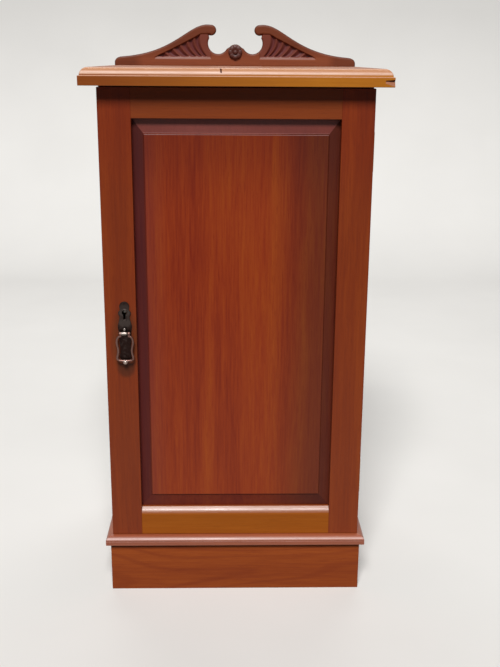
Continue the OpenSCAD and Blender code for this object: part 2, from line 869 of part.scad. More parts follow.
module door_leaf(z) {
    color(brass) hinge_leaf(door_back_y - leaf_t, door_back_y, z, 1);
}

module hinge_leaf_bottom_fixed() {
    fixed_leaf(hinge_places[0]);
}

module hinge_leaf_top_fixed() {
    fixed_leaf(hinge_places[1]);
}

module hinge_leaf_bottom_door() {
    door_leaf(hinge_places[0]);
}

module hinge_leaf_top_door() {
    door_leaf(hinge_places[1]);
}

// A pin through the knuckles, headed over at both ends.
module hinge_pin(z) {
    head_h = 0.8;
    color(steel) translate([hinge_x, hinge_y, z]) union() {
        translate([0, 0, -hinge_len / 2 - 0.5]) cylinder(h = hinge_len + 1, r = hinge_pin_r);
        for (side = [-1, 1]) translate([0, 0, side * (hinge_len + slide_clear + head_h) / 2])
            cylinder(h = head_h, r = hinge_pin_r + 0.6, center = true);
    }
}

module hinge_pin_bottom() {
    hinge_pin(hinge_places[0]);
}

module hinge_pin_top() {
    hinge_pin(hinge_places[1]);
}

// Runs its children at the three screw places of each hinge.
module at_leaf_screws(y) {
    for (z = hinge_places) for (step = [-1, 0, 1])
        translate([leaf_screw_x, y, z + step * hinge_len * 0.34]) children();
}

module hinge_screws_fixed(slotted = true) {
    color(brass) at_leaf_screws(case_front_y) rotate([90, 0, 0]) small_screw(slotted);
}

module hinge_screws_door(slotted = true) {
    color(brass) at_leaf_screws(door_back_y) rotate([-90, 0, 0]) small_screw(slotted);
}

// ---- Lock ------------------------------------------------------------------------------------

lock_x0 = -inner_x + lock_clear;
lock_x1 = lock_x0 + lock_w;
lock_z1 = key_z + 23;
lock_z0 = lock_z1 - lock_h;
lock_y0 = door_back_y + lock_plate_t;
lock_y1 = lock_y0 + lock_d;
lock_ear = 8;
lock_screw_places = [lock_x0 + 4, -opening_x - groove_depth - small_screw_head_r - 1];
bolt_len = lock_w - 4;
bolt_y = lock_y1 - lock_sheet - bolt_t - 1;
bolt_z = lock_z1 - lock_sheet - 5 - bolt_h;
stump_x = key_x + 2.5;
stump_z = bolt_z + 5.6;
stump_r = 1.2;

// The keyhole in X and Z, grown all round.
module keyhole(grow) {
    slot = keyhole_slot_w / 2 + grow;
    union() {
        translate([key_x, key_z]) circle(r = keyhole_r + grow);
        translate([key_x - slot, key_z - keyhole_slot_len - grow]) square([2 * slot, keyhole_slot_len + grow]);
    }
}

// The plate that carries the lock, screwed flat on the back of the door.
module lock_plate() {
    color(brass) difference() {
        block([lock_x0, door_back_y, lock_z0 - lock_ear], [lock_x1, lock_y0, lock_z1 + lock_ear]);
        run_y(door_back_y - solid_cut, lock_y0 + solid_cut) keyhole(0.2);
        lock_screws(false);
    }
}

// The box over the works, open towards the door, with the bolt's slot and guide stump.
module lock_case() {
    color(brass) difference() {
        union() {
            difference() {
                block([lock_x0, lock_y0, lock_z0], [lock_x1, lock_y1, lock_z1]);
                block([lock_x0 + lock_sheet, lock_y0 - solid_cut, lock_z0 + lock_sheet],
                    [lock_x1 - lock_sheet, lock_y1 - lock_sheet, lock_z1 - lock_sheet]);
            }
            rod_y(stump_x, bolt_y - 1, lock_y1 - lock_sheet / 2, stump_z, stump_r);
        }
        block([lock_x0 - solid_cut, bolt_y - bolt_clear / 2, bolt_z - bolt_clear / 2],
            [lock_x0 + lock_sheet + solid_cut, bolt_y + bolt_t + bolt_clear / 2, bolt_z + bolt_h + bolt_clear / 2]);
        lock_key_pin();
    }
}

// The pin that a hollow key turns on, riveted in the back of the box.
module lock_key_pin() {
    color(steel) rod_y(key_x, front_y + plate_t + 1, lock_y1, key_z, key_pin_r);
}

// The ring that only the right key's bit passes.
module lock_ward() {
    ward_r = 5;
    ward_t = 0.7;
    color(brass) difference() {
        rod_y(key_x, lock_y1 - lock_sheet - 2.5, lock_y1 - lock_sheet, key_z, ward_r + ward_t);
        rod_y(key_x, lock_y1 - lock_sheet - 3.5, lock_y1, key_z, ward_r);
        block([key_x - keyhole_slot_w / 2, lock_y1 - lock_sheet - 3.5, key_z - ward_r - 2],
            [key_x + keyhole_slot_w / 2, lock_y1, key_z]);
    }
}

module lock_screws(slotted = true) {
    color(brass) for (x = lock_screw_places) for (z = [lock_z0 - lock_ear / 2, lock_z1 + lock_ear / 2])
        translate([x, lock_y0, z]) rotate([-90, 0, 0]) small_screw(slotted);
}

// The bolt, drawn back at rest, with the talon that the key catches and the stump's slot.
module lock_bolt() {
    talon_half = 3;
    slot_half = stump_r + bolt_clear / 2;
    color(brass) difference() {
        block([lock_x0, bolt_y, bolt_z], [lock_x0 + bolt_len, bolt_y + bolt_t, bolt_z + bolt_h]);
        block([key_x - talon_half, bolt_y - solid_cut, bolt_z - solid_cut],
            [key_x + talon_half, bolt_y + bolt_t + solid_cut, bolt_z + 2.5]);
        for (x = [stump_x, stump_x + bolt_throw])
            rod_y(x, bolt_y - solid_cut, bolt_y + bolt_t + solid_cut, stump_z, slot_half);
        block([stump_x, bolt_y - solid_cut, stump_z - slot_half],
            [stump_x + bolt_throw, bolt_y + bolt_t + solid_cut, stump_z + slot_half]);
    }
}

// The bowed leaf spring on top of the bolt, which rubs on the box and holds the bolt.
module lock_bolt_spring() {
    bow_r = 5 - slide_clear * 2;
    leaf = 0.5;
    top_z = bolt_z + bolt_h;
    bow_x = lock_x0 + bolt_len - bow_r - 1.5;
    color(steel) difference() {
        rod_y(bow_x, bolt_y + 0.3, bolt_y + bolt_t - 0.3, top_z, bow_r);
        rod_y(bow_x, bolt_y, bolt_y + bolt_t, top_z, bow_r - leaf);
        block([bow_x - bow_r - 1, bolt_y - 1, top_z - bow_r - 1], [bow_x + bow_r + 1, bolt_y + bolt_t + 1, top_z]);
    }
}

keep_h = 26;
keep_w = 9;
keep_z = bolt_z + bolt_h / 2;
keep_y = bolt_y + bolt_t / 2;

module keep_outline(proud) {
    block([-inner_x - lock_plate_t, keep_y - keep_w / 2, keep_z - keep_h / 2],
        [-inner_x + proud, keep_y + keep_w / 2, keep_z + keep_h / 2]);
}

// The plate let into the side, which the bolt enters.
module lock_keep() {
    color(brass) difference() {
        keep_outline(0);
        block([-inner_x - lock_plate_t - 1, bolt_y - bolt_clear, bolt_z - bolt_clear],
            [-inner_x + 1, bolt_y + bolt_t + bolt_clear, bolt_z + bolt_h + bolt_clear]);
        keep_screws(false);
    }
}

module keep_screws(slotted = true) {
    color(brass) for (side = [-1, 1])
        translate([-inner_x, keep_y, keep_z + side * (keep_h / 2 - small_screw_head_r - 1)])
            rotate([0, 90, 0]) small_screw(slotted);
}

// ---- Handle ----------------------------------------------------------------------------------

pivot_z = key_z - pivot_drop;
pivot_y = front_y - pivot_out;
pull_foot_z = pivot_z - pull_len;
half_span = barrel_w / 2 + slide_clear + eye_t;

// The back plate's outline in X and Z: a round head, cusped sides, shoulders at the pivot, a waist
// and a rounded foot with a drip behind the drop.
module plate_outline() {
    head_r = 6.6;
    cusp_r = 4.2;
    neck = 7;
    shoulder = plate_w / 2;
    waist = 7.2;
    foot_r = 7.6;
    drip_r = 2.6;
    foot_z = pull_foot_z + foot_r + 2;
    half = [[head_r - 0.6, key_z + neck], [neck, key_z - 9], [shoulder, pivot_z + 9], [shoulder - 1, pivot_z + 1],
        [waist, pivot_z - 20], [waist, pivot_z - 24], [foot_r - 0.4, foot_z + 2]];
    translate([key_x, 0]) union() {
        translate([0, key_z + plate_above - head_r]) circle(r = head_r);
        for (side = [-1, 1]) translate([side * cusp_r, key_z - 1]) circle(r = cusp_r);
        polygon(concat(half, [for (i = [len(half) - 1 : -1 : 0]) [-half[i][0], half[i][1]]]));
        translate([0, foot_z]) circle(r = foot_r);
        translate([0, pull_foot_z + drip_r]) circle(r = drip_r);
    }
}

module handle_plate() {
    ring_h = 1;
    color(dark_metal) difference() {
        union() {
            run_y(front_y - plate_t, front_y) plate_outline();
            run_y(front_y - plate_t - ring_h, front_y - plate_t + 0.5) keyhole(1.4);
        }
        run_y(front_y - plate_t - 2 * ring_h, front_y + solid_cut) keyhole(0);
        rod_y(key_x, front_y - plate_t - 1, front_y + 1, pivot_z, post_r + pin_clear);
        handle_plate_pins();
    }
}

pin_places = [key_z + plate_above - 3.4, pull_foot_z + 11];

module handle_plate_pins() {
    shank_r = 0.7;
    head_r = 1.4;
    pin_len = 8;
    color(dark_metal) for (z = pin_places) translate([key_x, front_y - plate_t, z]) union() {
        rotate([-90, 0, 0]) cylinder(h = pin_len, r = shank_r);
        rotate([90, 0, 0]) rotate_extrude() polygon([[0, 0], [head_r, 0], [head_r * 0.7, 0.7], [0, 0.9]]);
    }
}

// The post: a barrel between the handle's eyes, a ball on a cone above it and a shank through the door.
module handle_post() {
    crown_r = 1.8;
    crown_foot_r = 2.8;
    crown_z = pivot_z + eye_r + 3.6;
    color(dark_metal) difference() {
        union() {
            rod_x(key_x - barrel_w / 2, key_x + barrel_w / 2, pivot_y, pivot_z, eye_r);
            rod_y(key_x, pivot_y, front_y - plate_t, pivot_z, post_r + 0.4);
            rod_y(key_x, pivot_y + 1, door_back_y + nut_t + 1, pivot_z, post_r);
            translate([key_x, pivot_y + 1, pivot_z]) cylinder(h = crown_z - pivot_z, r1 = crown_foot_r, r2 = crown_r);
            translate([key_x, pivot_y + 1, crown_z]) sphere(r = crown_r);
        }
        rod_x(key_x - barrel_w, key_x + barrel_w, pivot_y, pivot_z, pivot_r + pin_clear);
    }
}

module handle_nut() {
    color(brass) difference() {
        block([key_x - nut_w / 2, door_back_y, pivot_z - nut_w / 2],
            [key_x + nut_w / 2, door_back_y + nut_t, pivot_z + nut_w / 2]);
        rod_y(key_x, door_back_y - 1, door_back_y + nut_t + 1, pivot_z, post_r);
    }
}

module handle_pivot_pin() {
    head_t = 0.7;
    reach = half_span + slide_clear;
    color(dark_metal) union() {
        rod_x(key_x - reach - head_t, key_x + reach + head_t, pivot_y, pivot_z, pivot_r);
        rod_x(key_x - reach - head_t, key_x - reach, pivot_y, pivot_z, pivot_r + 0.7);
        rod_x(key_x + reach, key_x + reach + head_t, pivot_y, pivot_z, pivot_r + 0.7);
    }
}

// The centre line of the right half of the lyre-shaped drop, from its eye to its foot.
pull_half_wire = pull_wire / 2;
top_x = pull_top_w / 2 - pull_half_wire;
waist_x = pull_waist_w / 2 - pull_half_wire;
foot_x = pull_foot_w / 2 - pull_half_wire;
foot_bar_z = 2 * knop_r - 1;
neck_x = half_span - eye_t;
neck_z = pull_len - eye_r - pull_half_wire;
shoulder_z = pull_len - 12;
pull_waist_z = pull_len - 24;
bulge_z = foot_bar_z + 4;
pull_line = concat(
    curve([half_span - eye_t / 2, neck_z], [top_x - 1, neck_z], [top_x, shoulder_z + 4], [top_x, shoulder_z], 6),
    tail(curve([top_x, shoulder_z], [top_x, shoulder_z - 5], [waist_x, pull_waist_z + 5],
        [waist_x, pull_waist_z], 6)),
    tail(curve([waist_x, pull_waist_z], [waist_x, pull_waist_z - 5], [foot_x, bulge_z + 4],
        [foot_x, bulge_z], 6)),
    tail(curve([foot_x, bulge_z], [foot_x, foot_bar_z], [foot_x - 4, foot_bar_z], [0, foot_bar_z], 6))
);

function unit(v) = v / norm(v);
function side_step(line, i) =
    let (before = line[max(i - 1, 0)], after = line[min(i + 1, len(line) - 1)], way = unit(after - before))
    [-way[1], way[0]] * pull_half_wire;

module half_pull() {
    last = len(pull_line) - 1;
    polygon(concat(
        [for (i = [0 : last]) pull_line[i] + side_step(pull_line, i)],
        [for (i = [last : -1 : 0]) pull_line[i] - side_step(pull_line, i)]
    ));
}

module drop_pull() {
    color(dark_metal) difference() {
        translate([key_x, 0, 0]) union() {
            for (side = [0, 1]) mirror([side, 0, 0]) {
                translate([0, 0, pull_foot_z]) run_y(pivot_y - pull_half_wire, pivot_y + pull_half_wire)
                    union() {
                        half_pull();
                        translate([-0.5, foot_bar_z - pull_half_wire]) square([1, pull_wire]);
                        translate([neck_x, neck_z]) square([eye_t, eye_r]);
                    }
                rod_x(neck_x, half_span, pivot_y, pivot_z, eye_r);
            }
            translate([0, pivot_y, pull_foot_z + knop_r]) sphere(r = knop_r);
        }
        rod_x(key_x - 2 * half_span, key_x + 2 * half_span, pivot_y, pivot_z, pivot_r + pin_clear);
    }
}

top_board();
gallery_board();
gallery_boss();
gallery_dowels();
side_left();
side_right();
top_rail_front();
top_rail_back();
top_screws();
shelf();
base_board();
base_screws();
back_board_left();
back_board_middle();
back_board_right();
back_nails();
plinth_front();
plinth_left();
plinth_right();
plinth_back();
plinth_corner_blocks();
plinth_screws();
moulding_front();
moulding_left();
moulding_right();
hinge_leaf_top_fixed();
hinge_leaf_bottom_fixed();
hinge_screws_fixed();
lock_keep();
keep_screws();
door_stile_lock();
door_stile_hinge();
door_rail_top();
door_rail_bottom();
door_panel();
hinge_leaf_top_door();
hinge_leaf_bottom_door();
hinge_pin_top();
hinge_pin_bottom();
hinge_screws_door();
lock_case();
lock_plate();
lock_key_pin();
lock_ward();
lock_screws();
lock_bolt();
lock_bolt_spring();
handle_plate();
handle_plate_pins();
handle_post();
handle_nut();
handle_pivot_pin();
drop_pull();
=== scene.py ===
import math

import bmesh
import bpy
import numpy as np
from mathutils import Matrix, Vector
from mathutils.kdtree import KDTree


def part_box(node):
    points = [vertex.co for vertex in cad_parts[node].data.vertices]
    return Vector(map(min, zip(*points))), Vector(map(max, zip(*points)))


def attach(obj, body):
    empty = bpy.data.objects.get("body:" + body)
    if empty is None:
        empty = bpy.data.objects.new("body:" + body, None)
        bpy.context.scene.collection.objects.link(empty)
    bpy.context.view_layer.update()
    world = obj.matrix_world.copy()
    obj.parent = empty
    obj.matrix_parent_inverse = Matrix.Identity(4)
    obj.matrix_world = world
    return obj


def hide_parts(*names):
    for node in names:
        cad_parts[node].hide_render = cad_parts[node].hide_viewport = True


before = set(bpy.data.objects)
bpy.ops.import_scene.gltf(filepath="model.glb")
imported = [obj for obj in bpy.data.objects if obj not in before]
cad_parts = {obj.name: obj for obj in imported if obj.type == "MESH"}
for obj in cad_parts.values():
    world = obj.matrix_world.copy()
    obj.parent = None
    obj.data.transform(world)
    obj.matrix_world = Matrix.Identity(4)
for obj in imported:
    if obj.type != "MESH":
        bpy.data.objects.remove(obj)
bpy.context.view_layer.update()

# ---- Plinth ------------------------------------------------------------------------------------
# The plinth is four boards on edge, mitred at the front corners and glued to corner blocks. The
# front and sides are solid mahogany, polished; the back board and the blocks are plain pine.


def linear(hex_colour):
    """A colour written as sRGB hex, as the linear colour that a shader takes."""
    parts = [int(hex_colour[i:i + 2], 16) / 255 for i in (1, 3, 5)]
    return [c / 12.92 if c <= 0.04045 else ((c + 0.055) / 1.055) ** 2.4 for c in parts] + [1.0]


def add_node(material, kind, settings=None, links=None, stops=None):
    """Adds a node. Settings are its options and its sockets' values, links say what feeds a socket,
    and stops are the places and colours of a ramp."""
    node = material.node_tree.nodes.new(kind)
    for key, value in (settings or {}).items():
        if isinstance(key, str) and hasattr(node, key):
            setattr(node, key, value)
        else:
            node.inputs[key].default_value = value
    for key, source in (links or {}).items():
        material.node_tree.links.new(source, node.inputs[key])
    if stops:
        ramp = node.color_ramp
        while len(ramp.elements) < len(stops):
            ramp.elements.new(0.5)
        for element, (place, colour) in zip(ramp.elements, stops):
            element.position = place
            element.color = linear(colour)
    return node


def new_material(name):
    """An empty material with its output, for a finish to be built in."""
    material = bpy.data.materials.new(name)
    material.use_nodes = True
    material.node_tree.nodes.clear()
    return material


def drawn_out(grain, times):
    """A Mapping node's scale that counts in millimetres and draws a pattern out along the grain."""
    scale = [1000.0, 1000.0, 1000.0]
    scale["XYZ".index(grain)] /= times
    return scale


def mahogany(name, tones, grain, start, figure_mm=24, streak_mm=2.8, contrast=0.5, roughness=0.46,
             lustre=0.22, arches=0.0):
    """Cuban mahogany, planed, stained and French polished by hand. The eye gets broad bands of
    figure, thin darker streaks along the grain, fine open pores and a soft gloss. Tones are the
    dark, middle and pale colours, grain is the axis that it runs along, and arches is how strongly
    a plain-sawn board shows its growth rings."""
    material = new_material(name)
    place = add_node(material, "ShaderNodeTexCoord").outputs["Object"]
    # Figure runs about 26 times as long as it is wide. A pattern's scale is one over its size in mm.
    board = add_node(material, "ShaderNodeMapping", {"Location": start, "Scale": drawn_out(grain, 26)},
                     {"Vector": place})
    drift = add_node(material, "ShaderNodeTexNoise", {"Scale": 1 / 60, "Detail": 1.0},
                     {"Vector": board.outputs[0]})
    wander = add_node(material, "ShaderNodeVectorMath", {"operation": "MULTIPLY_ADD", 1: (22, 22, 22)},
                      {0: drift.outputs["Color"], 2: board.outputs[0]})
    figure = add_node(material, "ShaderNodeTexNoise",
                      {"Scale": 1 / figure_mm, "Detail": 2.0, "Roughness": 0.5},
                      {"Vector": wander.outputs[0]})
    streak = add_node(material, "ShaderNodeTexNoise",
                      {"Scale": 1 / streak_mm, "Detail": 4.0, "Roughness": 0.62},
                      {"Vector": wander.outputs[0]})
    half_streak = add_node(material, "ShaderNodeMath", {"operation": "MULTIPLY", 1: 0.5},
                           {0: streak.outputs["Fac"]})
    both = add_node(material, "ShaderNodeMath", {"operation": "MULTIPLY_ADD", 1: 0.5},
                    {0: figure.outputs["Fac"], 2: half_streak.outputs[0]})
    half = 0.17 / contrast
    colour = add_node(material, "ShaderNodeValToRGB", {}, {"Fac": both.outputs[0]},
                      [(0.5 - half, tones[0]), (0.5, tones[1]), (0.5 + half, tones[2])])
    # Real pores are 0.2 mm wide, too fine to show from a step away, so they are drawn 0.6 mm wide.
    # A pore is about 14 times as long as it is wide.
    pore_place = add_node(material, "ShaderNodeMapping", {"Location": start, "Scale": drawn_out(grain, 14)},
                          {"Vector": place})
    pores = add_node(material, "ShaderNodeTexNoise", {"Scale": 1 / 1.2, "Detail": 2.0, "Roughness": 0.6},
                     {"Vector": pore_place.outputs[0]})
    open_pore = add_node(material, "ShaderNodeMapRange", {"From Min": 0.56, "From Max": 0.7},
                         {"Value": pores.outputs["Fac"]})
    faint = add_node(material, "ShaderNodeMath", {"operation": "MULTIPLY", 1: 0.34},
                     {0: open_pore.outputs[0]})
    grained = add_node(material, "ShaderNodeMix",
                       {"data_type": "RGBA", "blend_type": "MIX", 7: linear(tones[0])},
                       {0: faint.outputs[0], 6: colour.outputs["Color"]})
    if arches:
        # An arch is about 5 times as long as it is wide.
        log = add_node(material, "ShaderNodeMapping", {"Location": start, "Scale": drawn_out(grain, 5)},
                       {"Vector": place})
        heart_far = add_node(material, "ShaderNodeTexNoise",
                             {"Scale": 1 / 80, "Detail": 1.0, "Roughness": 0.35},
                             {"Vector": log.outputs[0]})
        ring = add_node(material, "ShaderNodeMath", {"operation": "MULTIPLY", 1: 75.0},
                        {0: heart_far.outputs["Fac"]})
        ring = add_node(material, "ShaderNodeMath", {"operation": "SINE"}, {0: ring.outputs[0]})
        late_wood = add_node(material, "ShaderNodeMapRange",
                             {"From Min": 0.45, "From Max": 1.0, "To Max": arches},
                             {"Value": ring.outputs[0]})
        grained = add_node(material, "ShaderNodeMix", {"data_type": "RGBA", 7: linear(tones[0])},
                           {0: late_wood.outputs[0], 6: grained.outputs[2]})
    # Years of rubbing have left the gloss a little uneven, in patches the size of a hand.
    hand = add_node(material, "ShaderNodeTexNoise", {"Scale": 9.0, "Detail": 3.0}, {"Vector": place})
    gloss = add_node(material, "ShaderNodeMapRange",
                     {"From Min": 0.3, "From Max": 0.7,
                      "To Min": roughness - 0.04, "To Max": roughness + 0.06},
                     {"Value": hand.outputs["Fac"]})
    dent = add_node(material, "ShaderNodeBump", {"Strength": 0.25, "Distance": 0.0002, "invert": True},
                    {"Height": open_pore.outputs[0]})
    shader = add_node(material, "ShaderNodeBsdfPrincipled", {"IOR": 1.5, "Specular IOR Level": lustre},
                      {"Base Color": grained.outputs[2], "Roughness": gloss.outputs[0],
                       "Normal": dent.outputs[0]})
    add_node(material, "ShaderNodeOutputMaterial", {}, {"Surface": shader.outputs[0]})
    return material


def select_only(piece):
    """Leaves just this piece selected and active."""
    bpy.ops.object.select_all(action="DESELECT")
    piece.select_set(True)
    bpy.context.view_layer.objects.active = piece


def apply_all(piece):
    """Applies the piece's modifiers in order."""
    select_only(piece)
    for modifier in list(piece.modifiers):
        bpy.ops.object.modifier_apply(modifier=modifier.name)


def stands_for(piece, node, body, material):
    """Gives a finished piece its material and its body, and hides the CAD node that it stands for."""
    piece.data.materials.clear()
    piece.data.materials.append(material)
    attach(piece, body)
    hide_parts(node)
    return piece


def smoothed(piece):
    """Shades a piece's rounds smooth and leaves its flats flat."""
    select_only(piece)
    bpy.ops.mesh.customdata_custom_splitnormals_clear()
    bpy.ops.object.shade_smooth_by_angle(angle=math.radians(32))
    flats = piece.modifiers.new("flats kept flat", "WEIGHTED_NORMAL")
    flats.keep_sharp = True
    apply_all(piece)


def eased(name, node, body, material, ease_mm=0.6, where=None, steps=3):
    """A CAD node's own shape with its arrises eased, as a maker takes them off with glasspaper.
    Where gives an edge's share of the easing by its midpoint in millimetres; with none, all sharp
    edges are eased in full."""
    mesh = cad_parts[node].data.copy()
    piece = bpy.data.objects.new(name, mesh)
    bpy.context.scene.collection.objects.link(piece)
    select_only(piece)
    bpy.ops.object.mode_set(mode="EDIT")
    bpy.ops.mesh.select_all(action="SELECT")
    bpy.ops.mesh.customdata_custom_splitnormals_clear()
    bpy.ops.mesh.remove_doubles(threshold=1e-6)
    bpy.ops.mesh.dissolve_limited(angle_limit=math.radians(0.5))
    bpy.ops.object.mode_set(mode="OBJECT")
    shape = bmesh.new()
    shape.from_mesh(mesh)
    weight = shape.edges.layers.float.new("bevel_weight_edge")
    for edge in shape.edges:
        sharp = edge.is_manifold and edge.calc_face_angle(0) > math.radians(35)
        middle = (edge.verts[0].co + edge.verts[1].co) * 500
        edge[weight] = float(where is None or where(middle)) if sharp else 0.0
    shape.to_mesh(mesh)
    shape.free()
    ease = piece.modifiers.new("eased arrises", "BEVEL")
    ease.limit_method = "WEIGHT"
    ease.width = ease_mm / 1000
    ease.segments = steps
    ease.use_clamp_overlap = False
    apply_all(piece)
    smoothed(piece)
    return stands_for(piece, node, body, material)


plinth_tones = ("#7A2F16", "#97461C", "#AC5624")
# The edges at the mitres stay sharp, so the conditions leave them out.
eased("plinth_front_board", "plinth_front", "case",
      mahogany("mahogany, plinth front", plinth_tones, "X", (11, 3, 40), figure_mm=34,
               contrast=0.6, arches=0.36),
      0.8, lambda p: abs(p.x) < 170)
for side, sign in (("left", -1), ("right", 1)):
    eased(f"plinth_{side}_board", f"plinth_{side}", "case",
          mahogany(f"mahogany, plinth {side}", plinth_tones, "Y", (57 * sign, 9, 5), figure_mm=34),
          0.8, lambda p: abs(p.y + 140) > 6)


def plain_timber(name, grain, start, tones=("#86643E", "#A67F50", "#B8935F")):
    """Pine or beech, planed and left without polish, brown with age. The eye gets flat summer bands,
    darker lines at each ring, and a dry, dusty surface with no gloss."""
    material = new_material(name)
    place = add_node(material, "ShaderNodeTexCoord").outputs["Object"]
    # Rings run about 30 times as long as they are apart.
    board = add_node(material, "ShaderNodeMapping", {"Location": start, "Scale": drawn_out(grain, 30)},
                     {"Vector": place})
    rings = add_node(material, "ShaderNodeTexNoise",
                     {"Scale": 1 / 9, "Detail": 3.0, "Roughness": 0.55, "Distortion": 0.6},
                     {"Vector": board.outputs[0]})
    colour = add_node(material, "ShaderNodeValToRGB", {}, {"Fac": rings.outputs["Fac"]},
                      [(0.28, tones[0]), (0.5, tones[1]), (0.72, tones[2])])
    dust = add_node(material, "ShaderNodeTexNoise", {"Scale": 14.0, "Detail": 4.0}, {"Vector": place})
    aged = add_node(material, "ShaderNodeMix",
                    {"data_type": "RGBA", "blend_type": "MULTIPLY", 7: linear("#D8C8B4")},
                    {0: dust.outputs["Fac"], 6: colour.outputs["Color"]})
    fibre = add_node(material, "ShaderNodeBump", {"Strength": 0.3, "Distance": 0.0003},
                     {"Height": rings.outputs["Fac"]})
    shader = add_node(material, "ShaderNodeBsdfPrincipled", {"IOR": 1.5, "Roughness": 0.78},
                      {"Base Color": aged.outputs[2], "Normal": fibre.outputs[0]})
    add_node(material, "ShaderNodeOutputMaterial", {}, {"Surface": shader.outputs[0]})
    return material


def finish_node(node, material):
    """A CAD node whose shape is right as it is, given its real material."""
    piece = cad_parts[node]
    piece.data.materials.clear()
    piece.data.materials.append(material)


finish_node("plinth_corner_blocks", plain_timber("pine, corner blocks", "Z", (5, 5, 5)))
eased("plinth_back_board", "plinth_back", "case",
      plain_timber("pine, plinth back", "X", (20, 8, 60)), 0.6)


def plain_metal(name, tones, scratch_mm, roughness, tarnish):
    """A plain metal as it comes after years of handling. The eye gets its own tint in the
    reflections, fine rubbing marks, and dull darker patches where it has tarnished."""
    material = new_material(name)
    place = add_node(material, "ShaderNodeTexCoord").outputs["Object"]
    patches = add_node(material, "ShaderNodeTexNoise",
                       {"Scale": 1000 / tarnish, "Detail": 5.0, "Roughness": 0.6},
                       {"Vector": place})
    colour = add_node(material, "ShaderNodeValToRGB", {}, {"Fac": patches.outputs["Fac"]},
                      [(0.32, tones[0]), (0.66, tones[1])])
    marks = add_node(material, "ShaderNodeTexNoise", {"Scale": 1000 / scratch_mm, "Detail": 2.0},
                     {"Vector": place})
    dull = add_node(material, "ShaderNodeMapRange",
                    {"From Min": 0.35, "From Max": 0.65, "To Min": roughness + 0.18, "To Max": roughness},
                    {"Value": patches.outputs["Fac"]})
    relief = add_node(material, "ShaderNodeBump", {"Strength": 0.2, "Distance": 0.0001},
                      {"Height": marks.outputs["Fac"]})
    shader = add_node(material, "ShaderNodeBsdfPrincipled", {"Metallic": 1.0},
                      {"Base Color": colour.outputs["Color"], "Roughness": dull.outputs[0],
                       "Normal": relief.outputs[0]})
    add_node(material, "ShaderNodeOutputMaterial", {}, {"Surface": shader.outputs[0]})
    return material


# Screws and nails are drawn steel, grey where bright and brown where damp has reached them.
steel = plain_metal("steel, aged", ("#4A3F38", "#8C8780"), 0.8, 0.38, 6)
finish_node("plinth_screws", steel)

# ---- Base and its moulding ---------------------------------------------------------------------
# The base board closes the case below and rests on the plinth. Three lengths of solid mahogany
# moulding, a shallow round over a quirk and a square edge, are mitred and glued round its edge.

eased("base_of_case", "base_board", "case",
      mahogany("mahogany, base", plinth_tones, "X", (31, 70, 2)), 0.4)
moulding_tones = ("#80381C", "#964A28", "#A85A34")
eased("moulding_front_length", "moulding_front", "case",
      mahogany("mahogany, front moulding", moulding_tones, "X", (90, 12, 8), roughness=0.4, lustre=1.0),
      0.3, lambda p: abs(p.x) < 174)
for side, sign in (("left", -1), ("right", 1)):
    eased(f"moulding_{side}_length", f"moulding_{side}", "case",
          mahogany(f"mahogany, {side} moulding", moulding_tones, "Y", (80 * sign, 31, 6), roughness=0.4,
                   lustre=1.0),
          0.3, lambda p: p.y > -139)
finish_node("base_screws", steel)

# ---- Sides -------------------------------------------------------------------------------------
# Each side is one upright board of solid mahogany, polished outside, housed for the shelf and
# rebated for the back, with its grain running up.

side_tones = ("#6A2610", "#7C3212", "#8E4016")
# Only the outer edges between moulding and top are eased.
for side, sign in (("left", -1), ("right", 1)):
    eased(f"case_side_{side}", f"side_{side}", "case",
          mahogany(f"mahogany, {side} side", side_tones, "Z", (140 * sign, 44, 13), figure_mm=30),
          0.5, lambda p: abs(p.x) > 174 and 90 < p.z < 706)

# ---- Rails and shelf ---------------------------------------------------------------------------
# Two pine rails are lap dovetailed into the tops of the sides and carry the top. The shelf is one
# pine board slid into the sides' housings from behind.

for name, node, start in (("rail_front", "top_rail_front", (3, 41, 9)),
                          ("rail_back", "top_rail_back", (63, 7, 19))):
    eased(name, node, "case", plain_timber(f"pine, {name}", "X", start), 0.5)
eased("shelf_board", "shelf", "case", plain_timber("pine, shelf", "X", (15, 85, 70)), 0.8)
finish_node("top_screws", steel)

# ---- Back --------------------------------------------------------------------------------------
# Three thin pine boards, tongued and grooved, stand side by side in the sides' rebates and are
# nailed to the rail, the base and the sides. They are stained brown and never polished.

back_tones = ("#4C3321", "#6E4C30", "#846040")
for place, board in enumerate(("left", "middle", "right")):
    eased(f"back_{board}", f"back_board_{board}", "case",
          plain_timber(f"pine, back {board}", "Z", (33 * place, 12, 27 + 50 * place), back_tones), 0.7,
          lambda p: p.y > 159)
finish_node("back_nails", steel)

# ---- Top ---------------------------------------------------------------------------------------
# The top is one mahogany board with a quarter round and a step worked on its front and side
# edges. It has faded to a golden brown, and its right front corner has lost a splinter.


def refinish(piece, material, where):
    """Gives a second finish to the faces that where picks, by their normal and their middle in
    millimetres."""
    piece.data.materials.append(material)
    for face in piece.data.polygons:
        if where(face.normal, face.center * 1000):
            face.material_index = len(piece.data.materials) - 1


def stain(material, where, tint, blend="MULTIPLY"):
    """Tints a finish where the socket says, over whatever colours it already."""
    shader = next(n for n in material.node_tree.nodes if n.type == "BSDF_PRINCIPLED")
    bare = shader.inputs["Base Color"].links[0].from_socket
    over = add_node(material, "ShaderNodeMix", {"data_type": "RGBA", "blend_type": blend, 7: linear(tint)},
                    {0: where, 6: bare})
    material.node_tree.links.new(over.outputs[2], shader.inputs["Base Color"])


top = eased("top_moulded", "top_board", "case",
            mahogany("mahogany, faded top", ("#7C3A12", "#904C18", "#9E5C20"), "X", (5, 66, 31),
                     figure_mm=34, contrast=0.6, roughness=0.46, lustre=0.45), 0.5)


